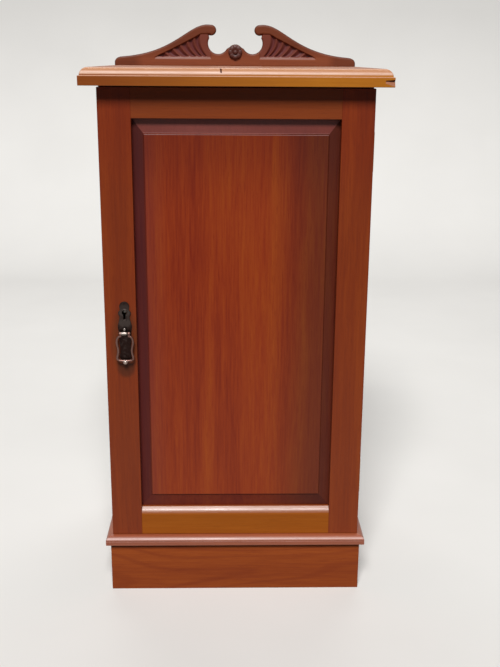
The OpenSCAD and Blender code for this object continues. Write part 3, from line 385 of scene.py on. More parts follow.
def struck(piece, size, middle, tilt, raw_wood, seed):
    """Breaks a splinter out of a finished piece with a rough wedge: its size and middle are in
    millimetres and its tilt in degrees, and the break shows raw_wood."""
    bpy.ops.object.select_all(action="DESELECT")
    bpy.ops.mesh.primitive_cube_add(size=1, location=[c / 1000 for c in middle],
                                    scale=[c / 1000 for c in size],
                                    rotation=[math.radians(a) for a in tilt])
    wedge = bpy.context.object
    bpy.ops.object.transform_apply(location=True, rotation=True, scale=True)
    bpy.ops.object.mode_set(mode="EDIT")
    bpy.ops.mesh.select_all(action="SELECT")
    bpy.ops.mesh.subdivide(number_cuts=4)
    bpy.ops.transform.vertex_random(offset=0.0003, seed=seed)
    bpy.ops.object.mode_set(mode="OBJECT")
    wedge.data.materials.append(raw_wood)
    split = piece.modifiers.new("splinter lost", "BOOLEAN")
    split.operation = "DIFFERENCE"
    split.solver = "EXACT"
    split.material_mode = "TRANSFER"
    split.object = wedge
    apply_all(piece)
    bpy.data.objects.remove(wedge)
    smoothed(piece)


rim_wood = mahogany("mahogany, rim of the top", ("#A46014", "#B86F19", "#C87F26"), "X", (5, 66, 31))
# The edge is darker and redder toward the left.
toward_left = add_node(rim_wood, "ShaderNodeSeparateXYZ", {},
                       {0: add_node(rim_wood, "ShaderNodeTexCoord").outputs["Object"]})
redder = add_node(rim_wood, "ShaderNodeMapRange", {"From Min": 0.1, "From Max": -0.16},
                  {"Value": toward_left.outputs["X"]})
stain(rim_wood, redder.outputs[0], "#C4A8DB")
refinish(top, rim_wood, lambda normal, middle: abs(normal.z) < 0.2 and normal.y < 0.5)
# The round of the top takes paler tones than the flat: a painted highlight along the round.
refinish(top,
         mahogany("mahogany, round of the top paled for a painted highlight", ("#A0602E", "#B47444", "#C48A5C"), "X", (5, 66, 31),
                  roughness=0.44, lustre=1.0),
         lambda normal, middle: 0.2 <= normal.z < 0.97 and middle.z > 708)
raw_break = mahogany("mahogany, old break", ("#8E5A40", "#A87056", "#BC8468"), "X", (3, 9, 4),
                     roughness=0.62, lustre=0.1)
bruise = mahogany("mahogany, bruise", ("#3C1A10", "#4C2214", "#5C2C1A"), "X", (8, 2, 14), roughness=0.6,
                  lustre=0.1)
struck(top, (14, 4.4, 8.4), (190.5, -161.2, 711.8), (-28, 0, 10), raw_break, 3)
struck(top, (2.0, 3.0, 8.5), (-19.4, -155.6, 726.6), (-45, 0, 4), bruise, 5)

# ---- Gallery -----------------------------------------------------------------------------------
# The gallery is a mahogany board, fretted to a swan-neck outline and carved with a gouge: six
# curved flutes fan out in each wing under a plain rounded rim. It is dowelled into the top.

mm = 0.001
gallery_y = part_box("gallery_board")[0].y / mm
gallery_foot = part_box("gallery_board")[0].z / mm
gallery_t = 12
half_gallery = 184
gallery_h = 60
boss_r = 10.5
boss_z = 20
# In the outline x runs outward from the gallery's middle and y up from its foot.
crest_x = 44  # middle of the crest
scroll_r = 7.8  # the crest's rolled end
scroll = Vector((crest_x - 7.2, gallery_h - scroll_r - 0.3))
hollow_r = 15.4  # the hollow between crest and boss
hollow_z = 17.4
hollow = Vector((hollow_r + boss_r + 0.3, hollow_z + hollow_r))
knee = Vector((crest_x + 38, 0.71 * gallery_h))  # where the crest's round turns into the long slope
wing_end_h = 13


def curve(a, b, c, d, steps):
    """Points along a cubic curve."""
    return [(1 - t) ** 3 * a + 3 * (1 - t) ** 2 * t * b + 3 * (1 - t) * t * t * c + t ** 3 * d
            for t in (i / steps for i in range(steps + 1))]


def arc(centre, r, start, end, steps):
    """Points along an arc, between angles in degrees."""
    return [centre + r * Vector((math.cos(a), math.sin(a)))
            for a in (math.radians(start + (end - start) * i / steps) for i in range(steps + 1))]


crest = curve(Vector((crest_x - 4, gallery_h)), Vector((crest_x + 10, gallery_h + 1)),
              knee + Vector((-16, 10)), knee, 16)
ogee = curve(knee, knee + Vector((22, -13.5)), Vector((half_gallery - 56, wing_end_h + 3.5)),
             Vector((half_gallery - 12, wing_end_h)), 20)
tip = curve(Vector((half_gallery - 12, wing_end_h)), Vector((half_gallery - 4, wing_end_h - 0.6)),
            Vector((half_gallery, wing_end_h - 4)), Vector((half_gallery, wing_end_h - 9)), 8)
wing = ([Vector((half_gallery, 0))] + tip[::-1] + ogee[-2::-1] + crest[-2::-1]
        + arc(scroll, scroll_r, 100, 300, 20) + arc(hollow, hollow_r, 30, -150, 30)
        + arc(Vector((0, boss_z)), boss_r + 1, 40, 90, 8)[:-1] + [Vector((0, boss_z + boss_r + 1))])
outline = wing + [Vector((-p.x, p.y)) for p in wing[-2::-1]]

bpy.ops.object.select_all(action="DESELECT")
bpy.ops.mesh.primitive_circle_add(vertices=len(outline), fill_type="NGON", location=(0, 0, 0))
gallery = bpy.context.object
gallery.name = "gallery_carved"
for corner, point in zip(gallery.data.vertices, outline):
    corner.co = (point.x * mm, gallery_y * mm, (gallery_foot + point.y) * mm)
bpy.ops.object.mode_set(mode="EDIT")
bpy.ops.mesh.select_all(action="SELECT")
bpy.ops.mesh.extrude_region_move(TRANSFORM_OT_translate={"value": (0, gallery_t * mm, 0)})
bpy.ops.mesh.select_all(action="SELECT")
bpy.ops.mesh.normals_make_consistent(inside=False)
bpy.ops.object.mode_set(mode="OBJECT")
shape = bmesh.new()
shape.from_mesh(gallery.data)
weight = shape.edges.layers.float.new("bevel_weight_edge")
for edge in shape.edges:
    ends = [v.co / mm for v in edge.verts]
    if max(p.z for p in ends) <= gallery_foot + 1:
        continue
    if all(abs(p.y - gallery_y) < 0.01 for p in ends):
        edge[weight] = 1.0
    elif all(abs(p.y - gallery_y - gallery_t) < 0.01 for p in ends):
        edge[weight] = 0.35
shape.to_mesh(gallery.data)
shape.free()
rounding = gallery.modifiers.new("rounded rim", "BEVEL")
rounding.limit_method = "WEIGHT"
rounding.width = 2.6 * mm
rounding.segments = 4
rounding.use_clamp_overlap = False
grain_of_mesh = gallery.modifiers.new("carver's mesh", "REMESH")
grain_of_mesh.mode = "VOXEL"
grain_of_mesh.voxel_size = 0.65 * mm
apply_all(gallery)

# The carved field lies lower than the rim and reaches from the hollow's edge to the wing's tip. A
# sloping ledge closes it below, and the flutes are cut into it.
field_left = 36.5
field_x = 52.5  # where the first rib meets the rim
field_w = 71
field_top = 47
field_sink = 1.3
rim_run = 64.5
rim_fall = 32  # over rim_run
feet_run = 32
feet_spread = 44  # more of it toward the tip
heads_run = 58
heads_spread = 9
ledge_foot = 9.4
ledge_top = 13
first_foot = 42.5  # where the first rib meets the ledge
flutes = 6
flute_depth = 3.4


def rim_inside(x):
    """The height of the rim's inner edge, which falls away from the scroll to the tip."""
    return field_top - rim_fall * max(0.0, (x - field_x) / rim_run) ** 0.93


def rib_point(t, s):
    """A place on a rib between two flutes: t is 0 at the scroll and 1 at the wing's tip, and s is 0
    at the ledge and 1 under the rim. The ribs lean over and stand wider apart toward the tip."""
    foot = np.array((first_foot + feet_run * t + feet_spread * t ** 2.1, ledge_top))
    head_x = field_x + heads_run * t + heads_spread * t * t
    head = np.array((head_x, rim_inside(head_x)))
    turn = foot + (head - foot) * np.array((0.7 + 0.8 * (1 - t) ** 3, 0.5))
    return (1 - s) ** 2 * foot + 2 * s * (1 - s) * turn + s * s * head


fan = [(t / 360, s / 90) for t in range(361) for s in range(91)]
carving = KDTree(len(fan))
for index, (t, s) in enumerate(fan):
    x, z = rib_point(t, s)
    carving.insert((x, z, 0), index)
carving.balance()
polish_and_shade_in_carving = np.zeros(len(gallery.data.vertices), np.float32)
edge_shade_and_rim_tone = np.zeros(len(gallery.data.vertices), np.float32)
for index, vertex in enumerate(gallery.data.vertices):
    x, y, z = abs(vertex.co.x) / mm, vertex.co.y / mm - gallery_y, vertex.co.z / mm - gallery_foot
    # Painted shade over the edge's depth into the board, and a plain darker tone on the upper board.
    on_edge = min(1.0, max(0.0, (y - 0.05) / 0.9))
    on_crest = 0.5 * min(1.0, max(z - 12, x - 140) / 14)
    edge_shade_and_rim_tone[index] = max(on_edge, on_crest)
    in_field = min(x - field_left, field_x + field_w - x, rim_inside(x) - z, z - ledge_foot)
    if y > 1.6 or in_field < 0:
        continue
    sunk = min(1.0, (x - field_left) / 1.5, (field_x + field_w - x) / 3, (rim_inside(x) - z) / 0.8,
               (z - ledge_foot) / (ledge_top - ledge_foot))
    _, nearest, gap = carving.find((x, z, 0))
    t, s = fan[nearest]
    gouge = 0.0
    if gap < 0.45:
        across = (t * flutes) % 1.0
        gouge = (1 - abs(2 * across - 1) ** 1.4) * min(1.0, s / 0.05, (1 - s) / 0.04)
    edge_shade_and_rim_tone[index] *= 1 - sunk
    # Half the tint marks the sunk field, and half follows the flute's depth as painted shade.
    polish_and_shade_in_carving[index] = 0.5 * sunk + 0.5 * gouge
    vertex.co.y += (field_sink * sunk + flute_depth * gouge) * mm
gallery.data.attributes.new("hollow", "FLOAT", "POINT").data.foreach_set("value", polish_and_shade_in_carving)
gallery.data.attributes.new("edge_shade_and_rim_tone", "FLOAT", "POINT").data.foreach_set("value", edge_shade_and_rim_tone)
select_only(gallery)
bpy.ops.object.shade_smooth()

carved_wood = mahogany("mahogany, carved", ("#6E341C", "#824227", "#904E2F"), "X", (77, 4, 21),
                       roughness=0.42, lustre=0.27)
# The carved field is tinted purple-brown for its old polish, and the tint deepens toward the bottom of each
# flute as painted shade.
# The fretted edge, with its rounding, is darkened in full as painted shade, and the upper board outside the
# carved field by half.
depth = add_node(carved_wood, "ShaderNodeAttribute", {"attribute_name": "hollow"})
stain(carved_wood, depth.outputs["Fac"], "#5E2C2C", "MIX")
hands = add_node(carved_wood, "ShaderNodeAttribute", {"attribute_name": "edge_shade_and_rim_tone"})
stain(carved_wood, hands.outputs["Fac"], "#A08C6A")
stands_for(gallery, "gallery_board", "case", carved_wood)
finish_node("gallery_dowels",
            plain_timber("beech, dowels", "Z", (1, 2, 3), ("#9A7448", "#B48C5C", "#C49E70")))

# The boss is turned, then cut into eight petals around a button, and glued on the gallery's face.
bpy.ops.object.select_all(action="DESELECT")
bpy.ops.mesh.primitive_circle_add(vertices=128, radius=boss_r * mm, fill_type="NGON",
                                  location=(0, gallery_y * mm, (gallery_foot + boss_z) * mm),
                                  rotation=(math.pi / 2, 0, 0))
boss = bpy.context.object
boss.name = "gallery_rosette"
bpy.ops.object.transform_apply(location=True, rotation=True, scale=True)
bpy.ops.object.mode_set(mode="EDIT")
bpy.ops.mesh.select_all(action="SELECT")
# Each step is how far the turner goes in toward the middle, and out toward the front.
rosette_steps = ((0, 1.6), (0.35, 1.2), (0.5, 0.6), (0.7, 0.4), (1.2, 0.3), (1.2, 0.1), (1.0, -0.2),
                 (1.0, -0.5), (0.8, -0.4), (0.4, 0.5), (0.3, 0.9), (0.4, 0.7), (0.8, 0.5), (0.8, 0.2))
for inward, outward in rosette_steps:
    if inward:
        bpy.ops.mesh.inset(thickness=inward * mm, depth=0)
        bpy.ops.transform.translate(value=(0, -outward * mm, 0))
    else:
        bpy.ops.mesh.extrude_region_move(TRANSFORM_OT_translate={"value": (0, -outward * mm, 0)})
bpy.ops.mesh.select_all(action="SELECT")
bpy.ops.mesh.normals_make_consistent(inside=False)
bpy.ops.object.mode_set(mode="OBJECT")
boss_middle = Vector((0, 0, (gallery_foot + boss_z) * mm))
button_r = 3.6
for vertex in boss.data.vertices:
    out = Vector((vertex.co.x, 0, vertex.co.z)) - boss_middle
    if out.length > button_r * mm:
        cut = abs(math.cos(4 * math.atan2(out.z, out.x))) ** 0.5
        share = min(1.0, (out.length / mm - button_r) / 3)
        vertex.co -= out * 0.07 * (1 - cut) * share
        if vertex.co.y < (gallery_y - 0.2) * mm:
            vertex.co.y += 0.4 * (1 - cut) * share * mm
select_only(boss)
bpy.ops.object.shade_smooth_by_angle(angle=math.radians(50))
stands_for(boss, "gallery_boss", "case",
           mahogany("mahogany, boss", ("#401E18", "#522A22", "#66382E"), "X", (7, 14, 51), roughness=0.46,
                    lustre=0.4))

# ---- Door --------------------------------------------------------------------------------------
# The door's frame is mortised and tenoned in solid mahogany, grain up in the stiles and across in
# the rails. Its raised and fielded panel stands loose in a groove, so that it can shrink.

panel_foot = 127.5
panel_head = 667
stile_tones = ("#66220D", "#803210", "#984516")
keyhole = Vector((-148.5, 0, 410))
handle_shadow_and_grime = Vector((-148.5, -140, 374))


def spot(material, middle, half_w, half_h, half_d=None):
    """A socket that is 1 round a place on the door's front, in millimetres, and fades out past its
    half width and half height. With half_d it fades out in depth too."""
    place = add_node(material, "ShaderNodeTexCoord").outputs["Object"]
    deep = 1 / half_d if half_d else 0
    centred = add_node(material, "ShaderNodeMapping",
                       {"Location": (-middle.x / half_w, -middle.y * deep, -middle.z / half_h),
                        "Scale": (1000 / half_w, 1000 * deep, 1000 / half_h)},
                       {"Vector": place})
    away = add_node(material, "ShaderNodeVectorMath", {"operation": "LENGTH"}, {0: centred.outputs[0]})
    return add_node(material, "ShaderNodeMapRange",
                    {"From Min": 1.15, "From Max": 0.7, "interpolation_type": "SMOOTHSTEP"},
                    {"Value": away.outputs["Value"]}).outputs[0]


def graded_by_height(material, share, kept):
    """Pales a finish toward the foot of the door, and gives it the kept tint under the top."""
    place = add_node(material, "ShaderNodeTexCoord").outputs["Object"]
    height = add_node(material, "ShaderNodeSeparateXYZ", {}, {0: place})
    high = add_node(material, "ShaderNodeMapRange",
                    {"From Min": 0.54, "From Max": 0.65, "interpolation_type": "SMOOTHSTEP"},
                    {"Value": height.outputs["Z"]})
    stain(material, high.outputs[0], kept)
    low = add_node(material, "ShaderNodeMapRange", {"From Min": 0.46, "From Max": 0.2, "To Max": share},
                   {"Value": height.outputs["Z"]})
    stain(material, low.outputs[0], "#CC8468", "MIX")


for side, node, sign in (("lock", "door_stile_lock", -1), ("hinge", "door_stile_hinge", 1)):
    stile_wood = mahogany(f"mahogany, {side} stile", stile_tones, "Z", (37 * sign, 12, 91 + 30 * sign),
                          figure_mm=22)
    if side == "lock":
        # The wood seen through the keyhole is darkened to near black as painted shade. Round the handle and
        # under its knop the wood is darkened for finger grime together with a painted shadow of the handle.
        stain(stile_wood, spot(stile_wood, keyhole, 7, 10), "#241C1A")
        # Painted shadow of the handle with finger grime, and under the knop a painted shadow of the drop
        # with some grime.
        stain(stile_wood, spot(stile_wood, handle_shadow_and_grime, 20, 50, 9), "#D0E8F8")
        stain(stile_wood, spot(stile_wood, handle_shadow_and_grime - Vector((0, 0, 38)), 12, 13, 9), "#C4CCD8")
    graded_by_height(stile_wood, 0.05, "#FAE8E0")
    eased(f"stile_{side}", node, "door", stile_wood, 0.6,
          lambda p: abs(p.x) > 174 or (abs(p.x) < 133.1 and p.y < -139 and panel_foot < p.z < panel_head))
eased("rail_of_door_top", "door_rail_top", "door",
      mahogany("mahogany, door top rail", ("#6A2A0E", "#7D3612", "#8E4218"), "X", (61, 25, 3)), 0.6,
      lambda p: p.y < -139 and p.z < panel_head + 1)
bottom_rail = eased("rail_of_door_bottom", "door_rail_bottom", "door",
                    mahogany("mahogany, back of the bottom rail", ("#6C2C0E", "#7F3814", "#904418"), "X",
                             (16, 72, 38)),
                    5.0,
                    lambda p: (p.y < -132 and abs(p.x) < 132 and p.z > 120) * (1.0 if p.z < 124 else 0.16),
                    steps=6)
refinish(bottom_rail,
         mahogany("mahogany, door bottom rail", ("#8C480E", "#9E5312", "#AE611C"), "X", (16, 72, 38)),
         lambda normal, middle: normal.y < -0.97)
refinish(bottom_rail,
         mahogany("mahogany, ledge of the door", ("#84400F", "#934B12", "#A05818"), "X", (16, 72, 38),
                  roughness=0.36, lustre=1.0),
         lambda normal, middle: -0.97 <= normal.y < -0.05 and normal.z > 0.05)
panel_wood = mahogany("mahogany, figured panel", ("#761F0A", "#903411", "#A04615"), "Z", (90, 12, 55),
                      figure_mm=20, streak_mm=2.6, contrast=0.85)
panel = eased("panel_fielded", "door_panel", "door", panel_wood, 1.5,
              lambda p: (p.y < -130.5) * (1.0 if p.z > 640 else 0.6))


def on_bevel(normal, out):
    """Whether a face is one of the panel's bevels, and not its field or an eased arris."""
    return normal.y < 0 and 0.05 < out < 0.6


bevels = panel.data.attributes.new("bevel", "FLOAT", "FACE")
# Shares of the bevels' tint: wax on all of them, with a larger share on the left bevel as painted shade.
for face, shade in zip(panel.data.polygons, bevels.data):
    normal = face.normal
    if on_bevel(normal, math.hypot(normal.x, normal.z)):
        shade.value = 1.0 if normal.x < -0.05 else 0.5 if normal.x > 0.05 else 0.85
refinish(panel, mahogany("mahogany, upper bevel", ("#5C1E16", "#6A281E", "#783226"), "Z", (90, 12, 55),
                         lustre=0.5),
         lambda normal, middle: on_bevel(normal, normal.z))
# The board is darker toward the right, and beside the left stile it is darkened as a painted shadow of the
# stile.
# The bevels are darkened for polish and wax gathered on them, and the left bevel more than the right as
# painted shade.
across = add_node(panel_wood, "ShaderNodeSeparateXYZ", {},
                  {0: add_node(panel_wood, "ShaderNodeTexCoord").outputs["Object"]})
toward_right = add_node(panel_wood, "ShaderNodeMapRange",
                 {"From Min": 0.03, "From Max": 0.115, "interpolation_type": "SMOOTHSTEP"},
                 {"Value": across.outputs["X"]})
stain(panel_wood, toward_right.outputs[0], "#B8C4F0")
left_stile_shadow = add_node(panel_wood, "ShaderNodeMapRange",
                      {"From Min": -0.09, "From Max": -0.125, "To Max": 0.4},
                      {"Value": across.outputs["X"]})
stain(panel_wood, left_stile_shadow.outputs[0], "#5A2C30", "MIX")
graded_by_height(panel_wood, 0.05, "#DED6CC")
# Wax on the bevels, with painted shade strongest on the left bevel.
sloping = add_node(panel_wood, "ShaderNodeAttribute", {"attribute_name": "bevel"})
stain(panel_wood, sloping.outputs["Fac"], "#AC9EBC")

# ---- Hinges ------------------------------------------------------------------------------------
# Two drawn brass butt hinges, each two leaves let in flush and a steel pin, with brass screws.

brass = plain_metal("brass, aged", ("#84642F", "#B8924E"), 0.7, 0.32, 14)
for place in ("top", "bottom"):
    eased(f"hinge_{place}_case_leaf", f"hinge_leaf_{place}_fixed", "case", brass, 0.2,
          lambda p: p.x < 161)
    eased(f"hinge_{place}_door_leaf", f"hinge_leaf_{place}_door", "door", brass, 0.2,
          lambda p: p.x < 161)
    eased(f"hinge_{place}_pin_headed", f"hinge_pin_{place}", "door", steel, 0.2)
for node in ("hinge_screws_fixed", "hinge_screws_door"):
    finish_node(node, brass)

# ---- Lock --------------------------------------------------------------------------------------
# A small cut lock: a brass box on a plate, screwed behind the lock stile, with a brass bolt that
# enters a keep let into the side.

for name, node, body in (("lock_box", "lock_case", "door"), ("lock_back_plate", "lock_plate", "door"),
                         ("bolt_brass", "lock_bolt", "bolt"), ("keep_plate", "lock_keep", "case")):
    eased(name, node, body, brass, 0.25)
for node in ("lock_screws", "keep_screws", "lock_ward"):
    finish_node(node, brass)
for node in ("lock_key_pin", "lock_bolt_spring"):
    finish_node(node, steel)

# ---- Handle ------------------------------------------------------------------------------------
# A cast bronze drop handle: a cusped plate with a keyhole, a post with a ball, and a lyre-shaped
# drop that hangs from a pin. It is dark with age, bright where fingers rub it, and painted with highlights
# and sheen.

pivot = Vector((-148.5, -147.0, 387.5))
pull_len = 43.5
knop_r = 3.2


def dark_bronze(name, tone="#2A1D1A", rubbed=()):
    """Cast bronze, brown-black with lacquer and age. The eye gets a dark satin body, slightly pitted from
    the casting,
    that is paler and glossier at rubbed places, which are partly wear from hands and partly painted
    highlight and sheen:
    rubbed holds each such place with its half width and half height in millimetres, and how far it is
    paled."""
    material = new_material(name)
    place = add_node(material, "ShaderNodeTexCoord").outputs["Object"]
    cast = add_node(material, "ShaderNodeTexNoise", {"Scale": 900.0, "Detail": 4.0}, {"Vector": place})
    wear = add_node(material, "ShaderNodeTexNoise", {"Scale": 300.0, "Detail": 3.0}, {"Vector": place})
    bright = add_node(material, "ShaderNodeMapRange", {"From Min": 0.5, "From Max": 0.8, "To Max": 0.08},
                      {"Value": wear.outputs["Fac"]}).outputs[0]
    for middle, half_w, half_h, share in rubbed:
        worn = add_node(material, "ShaderNodeMath", {"operation": "MULTIPLY", 1: share},
                        {0: spot(material, middle, half_w, half_h)})
        bright = add_node(material, "ShaderNodeMath", {"operation": "MAXIMUM"},
                          {0: bright, 1: worn.outputs[0]}).outputs[0]
    colour = add_node(material, "ShaderNodeMix",
                      {"data_type": "RGBA", 6: linear(tone), 7: linear("#BDB2AA")},
                      {0: bright})
    gloss = add_node(material, "ShaderNodeMapRange", {"To Min": 0.42, "To Max": 0.32}, {"Value": bright})
    pits = add_node(material, "ShaderNodeBump", {"Strength": 0.25, "Distance": 0.0002},
                    {"Height": cast.outputs["Fac"]})
    shader = add_node(material, "ShaderNodeBsdfPrincipled", {"Metallic": 1.0},
                      {"Base Color": colour.outputs[2], "Roughness": gloss.outputs[0],
                       "Normal": pits.outputs[0]})
    add_node(material, "ShaderNodeOutputMaterial", {}, {"Surface": shader.outputs[0]})
    return material


# The bright places on the handle: round the keyhole and over the plate's upper half, rubbing with painted
# sheen; on the pin's bar, rubbing with a painted highlight set 1.2 mm left of the middle; on the crown, a
# painted highlight; on the knop, rubbing with a painted highlight.
knop = pivot - Vector((0, 0, pull_len - knop_r))
crown = pivot + Vector((0, 0, 6.1))  # the ball over the pin
pin_rub_and_highlight = pivot - Vector((1.2, 0, 0))
key_rub_and_sheen = keyhole + Vector((0, 0, 5))
thumb_rub_and_sheen = keyhole - Vector((0, 0, 9))
bronze = dark_bronze("bronze, dark",
                     rubbed=((keyhole, 12, 19, 0.05), (key_rub_and_sheen, 8, 6, 0.1), (thumb_rub_and_sheen, 9, 7, 0.08)))
bronze_post = dark_bronze("bronze, post rubbed and highlighted", "#33271F",
                          ((pin_rub_and_highlight, 4.6, 2.8, 0.5), (crown, 1.6, 1.8, 0.6)))
bronze_drop = dark_bronze("bronze, drop", "#74564E", ((pin_rub_and_highlight, 4.6, 2.8, 0.5), (knop, 4.2, 3.4, 0.55)))
eased("escutcheon_plate", "handle_plate", "door", bronze, 0.5)
eased("handle_post_cast", "handle_post", "door", bronze_post, 0.3)
eased("handle_pin_headed", "handle_pivot_pin", "door", bronze_post, 0.2)
eased("handle_nut_square", "handle_nut", "door", brass, 0.3)
finish_node("handle_plate_pins", bronze)

half_wire = 1.5
eye_t = 2.8
eye_r = 2.5
eye_out = 4.3 + eye_t / 2  # middle of an eye, clear of the post's barrel
# Half of the drop's line, from an eye to the foot. Shoulder, waist and hip are how far out it runs.
shoulder = 10.7
waist = 9
hip = 10.6
foot_bar = 2 * knop_r - 1
half_line = (curve(Vector((eye_out, pull_len - eye_r - half_wire)), Vector((shoulder - 1, pull_len - 4)),
                   Vector((shoulder, pull_len - 8)), Vector((shoulder, pull_len - 12)), 10)
             + curve(Vector((shoulder, pull_len - 12)), Vector((shoulder, pull_len - 17)),
                     Vector((waist, pull_len - 19)), Vector((waist, pull_len - 24)), 10)[1:]
             + curve(Vector((waist, pull_len - 24)), Vector((waist, pull_len - 29)),
                     Vector((hip, foot_bar + 8)), Vector((hip, foot_bar + 4)), 10)[1:]
             + curve(Vector((hip, foot_bar + 4)), Vector((hip, foot_bar)), Vector((hip - 4, foot_bar)),
                     Vector((0, foot_bar)), 10)[1:])
wire_line = half_line + [Vector((-p.x, p.y)) for p in half_line[-2::-1]]
wire = bpy.data.curves.new("drop_wire", "CURVE")
wire.dimensions = "3D"
wire.bevel_depth = half_wire * mm
wire.bevel_resolution = 6
wire.use_fill_caps = True
spline = wire.splines.new("POLY")
spline.points.add(len(wire_line) - 1)
for point, place in zip(spline.points, wire_line):
    point.co = ((pivot.x + place.x) * mm, pivot.y * mm, (pivot.z - pull_len + place.y) * mm, 1)
drop = bpy.data.objects.new("drop_handle_lyre", wire)
bpy.context.scene.collection.objects.link(drop)
select_only(drop)
bpy.ops.object.convert(target="MESH")
drop = bpy.context.object
cast_parts = [drop]
for sign in (-1, 1):
    eye_x = (pivot.x + sign * eye_out) * mm
    neck_z = (pivot.z - eye_r - 0.4) * mm
    bpy.ops.object.select_all(action="DESELECT")
    bpy.ops.mesh.primitive_cylinder_add(vertices=40, radius=eye_r * mm, depth=eye_t * mm,
                                        location=(eye_x, pivot.y * mm, pivot.z * mm),
                                        rotation=(0, math.pi / 2, 0))
    cast_parts.append(bpy.context.object)
    bpy.ops.mesh.primitive_cube_add(size=1, location=(eye_x, pivot.y * mm, neck_z),
                                    scale=(2.6 * mm, 2.6 * mm, 3.6 * mm))
    cast_parts.append(bpy.context.object)
bpy.ops.object.select_all(action="DESELECT")
knop_z = (pivot.z - pull_len + knop_r) * mm
bpy.ops.mesh.primitive_uv_sphere_add(segments=32, ring_count=16, radius=knop_r * mm,
                                     location=(pivot.x * mm, pivot.y * mm, knop_z))
cast_parts.append(bpy.context.object)
bpy.ops.object.select_all(action="DESELECT")
for part in cast_parts:
    part.select_set(True)
bpy.context.view_layer.objects.active = drop
bpy.ops.object.join()
bpy.ops.object.transform_apply(location=True, rotation=True, scale=True)
cast = drop.modifiers.new("cast in one", "REMESH")
cast.mode = "VOXEL"
cast.voxel_size = 0.28 * mm
fettled = drop.modifiers.new("fettled", "SMOOTH")
fettled.factor = 0.5
fettled.iterations = 3
apply_all(drop)
bpy.ops.object.select_all(action="DESELECT")
bpy.ops.mesh.primitive_cylinder_add(vertices=40, radius=1.05 * mm, depth=24 * mm, location=pivot * mm,
                                    rotation=(0, math.pi / 2, 0))
bore = bpy.context.object
drilled = drop.modifiers.new("drilled for the pin", "BOOLEAN")
drilled.operation = "DIFFERENCE"
drilled.object = bore
apply_all(drop)
bpy.data.objects.remove(bore)
select_only(drop)
bpy.ops.object.shade_smooth_by_angle(angle=math.radians(60))
stands_for(drop, "drop_pull", "drop_handle", bronze_drop)

# ---- Studio ------------------------------------------------------------------------------------
# A pale sweep for floor and background, one large soft key light high in front, a weak light
# behind and above, and the camera where the photograph was taken from.

bpy.ops.object.select_all(action="DESELECT")
bpy.ops.mesh.primitive_plane_add(size=1, location=(0, 0, 0))
sweep = bpy.context.object
sweep.name = "studio_sweep"
bpy.ops.transform.resize(value=(12, 6, 1))
bpy.ops.object.transform_apply(location=True, rotation=True, scale=True)
bpy.ops.object.mode_set(mode="EDIT")
bpy.ops.mesh.select_all(action="SELECT")
bpy.ops.transform.translate(value=(0, -1.2, 0))
bpy.ops.mesh.select_all(action="DESELECT")
bpy.ops.object.mode_set(mode="OBJECT")
for edge in sweep.data.edges:
    edge.select = all(sweep.data.vertices[v].co.y > 0 for v in edge.vertices)
bpy.ops.object.mode_set(mode="EDIT")
bpy.ops.mesh.select_mode(type="EDGE")
turns = 12
step = 0.13
for turn in range(1, turns + 1):
    angle = math.radians(90 * turn / turns)
    bpy.ops.mesh.extrude_region_move(
        TRANSFORM_OT_translate={"value": (0, step * math.cos(angle), step * math.sin(angle))})
bpy.ops.mesh.extrude_region_move(TRANSFORM_OT_translate={"value": (0, 0, 5)})
bpy.ops.object.mode_set(mode="OBJECT")
bpy.ops.object.shade_smooth()
paper = new_material("paper sweep")
fibres = add_node(paper, "ShaderNodeTexNoise", {"Scale": 3.0, "Detail": 3.0},
                  {"Vector": add_node(paper, "ShaderNodeTexCoord").outputs["Object"]})
tone = add_node(paper, "ShaderNodeValToRGB", {}, {"Fac": fibres.outputs["Fac"]},
                [(0.3, "#E6E4E0"), (0.7, "#EAE8E4")])


def seen_by_eye(studio):
    """A socket that is 1 where the eye looks, straight, in a gloss or through glass, and 0 for the
    light that a thing throws on the rest. With it, bright surroundings leave the shadows dark."""
    rays = add_node(studio, "ShaderNodeLightPath")
    shown = add_node(studio, "ShaderNodeMath", {"operation": "MAXIMUM"},
                     {0: rays.outputs["Is Camera Ray"], 1: rays.outputs["Is Glossy Ray"]})
    shown = add_node(studio, "ShaderNodeMath", {"operation": "MAXIMUM"},
                     {0: shown.outputs[0], 1: rays.outputs["Is Transmission Ray"]})
    return shown.outputs[0]


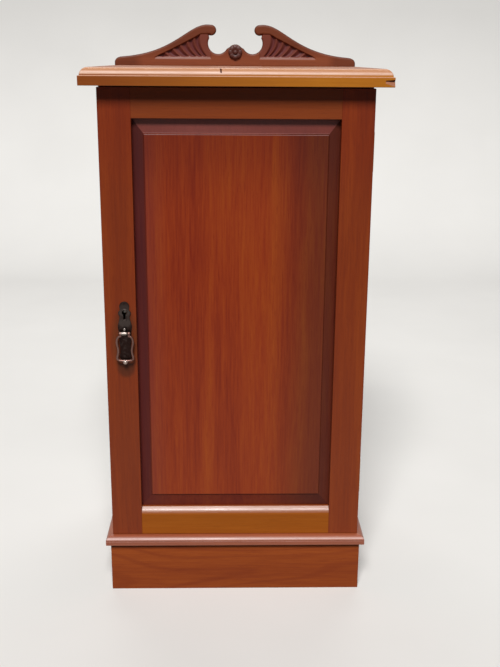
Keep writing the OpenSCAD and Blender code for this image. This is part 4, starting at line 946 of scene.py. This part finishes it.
pale = add_node(paper, "ShaderNodeMix", {"data_type": "RGBA", 6: linear("#3C3834")},
                {0: seen_by_eye(paper), 7: tone.outputs["Color"]})
matt = add_node(paper, "ShaderNodeBsdfPrincipled", {"Roughness": 0.9, "Specular IOR Level": 0.1},
                {"Base Color": pale.outputs[2]})
add_node(paper, "ShaderNodeOutputMaterial", {}, {"Surface": matt.outputs[0]})
sweep.data.materials.append(paper)

world = bpy.data.worlds.new("studio")
bpy.context.scene.world = world
world.use_nodes = True
world.node_tree.nodes.clear()
level = add_node(world, "ShaderNodeMapRange", {"To Min": 0.005, "To Max": 0.48},
                 {"Value": seen_by_eye(world)})
air = add_node(world, "ShaderNodeBackground", {"Color": linear("#F2F4F6")}, {"Strength": level.outputs[0]})
add_node(world, "ShaderNodeOutputWorld", {}, {"Surface": air.outputs[0]})

for name, place, aim, width, height, watts in (
        ("key light", (-0.7, -9.2, 10.6), (0, 0, 0.4), 5.2, 4.0, 2160),
        ("back light", (0, 1.6, 2.6), (0, 0.1, 0.4), 2.4, 1.0, 25)):
    light = bpy.data.lights.new(name, "AREA")
    light.shape = "RECTANGLE"
    light.size = width
    light.size_y = height
    light.energy = watts
    lamp = bpy.data.objects.new(name, light)
    bpy.context.scene.collection.objects.link(lamp)
    lamp.location = place
    lamp.rotation_mode = "QUATERNION"
    lamp.rotation_quaternion = (Vector(aim) - Vector(place)).to_track_quat("-Z", "Y")

camera_data = bpy.data.cameras.new("camera")
camera_data.lens = 50.44  # 934.6 pixels of focal length over the photograph's height of 667
camera_data.sensor_width = 36
camera = bpy.data.objects.new("camera", camera_data)
bpy.context.scene.collection.objects.link(camera)
yaw, dip, roll = -1.35, 16.433, 0.41  # degrees
camera.matrix_world = (Matrix.Translation((-0.00957, -1.34414, 0.74092))
                       @ Matrix.Rotation(math.radians(yaw), 4, "Z")
                       @ Matrix.Rotation(math.radians(90 - dip), 4, "X")
                       @ Matrix.Rotation(math.radians(roll), 4, "Z"))
bpy.context.scene.camera = camera
bpy.context.scene.view_settings.view_transform = "Standard"
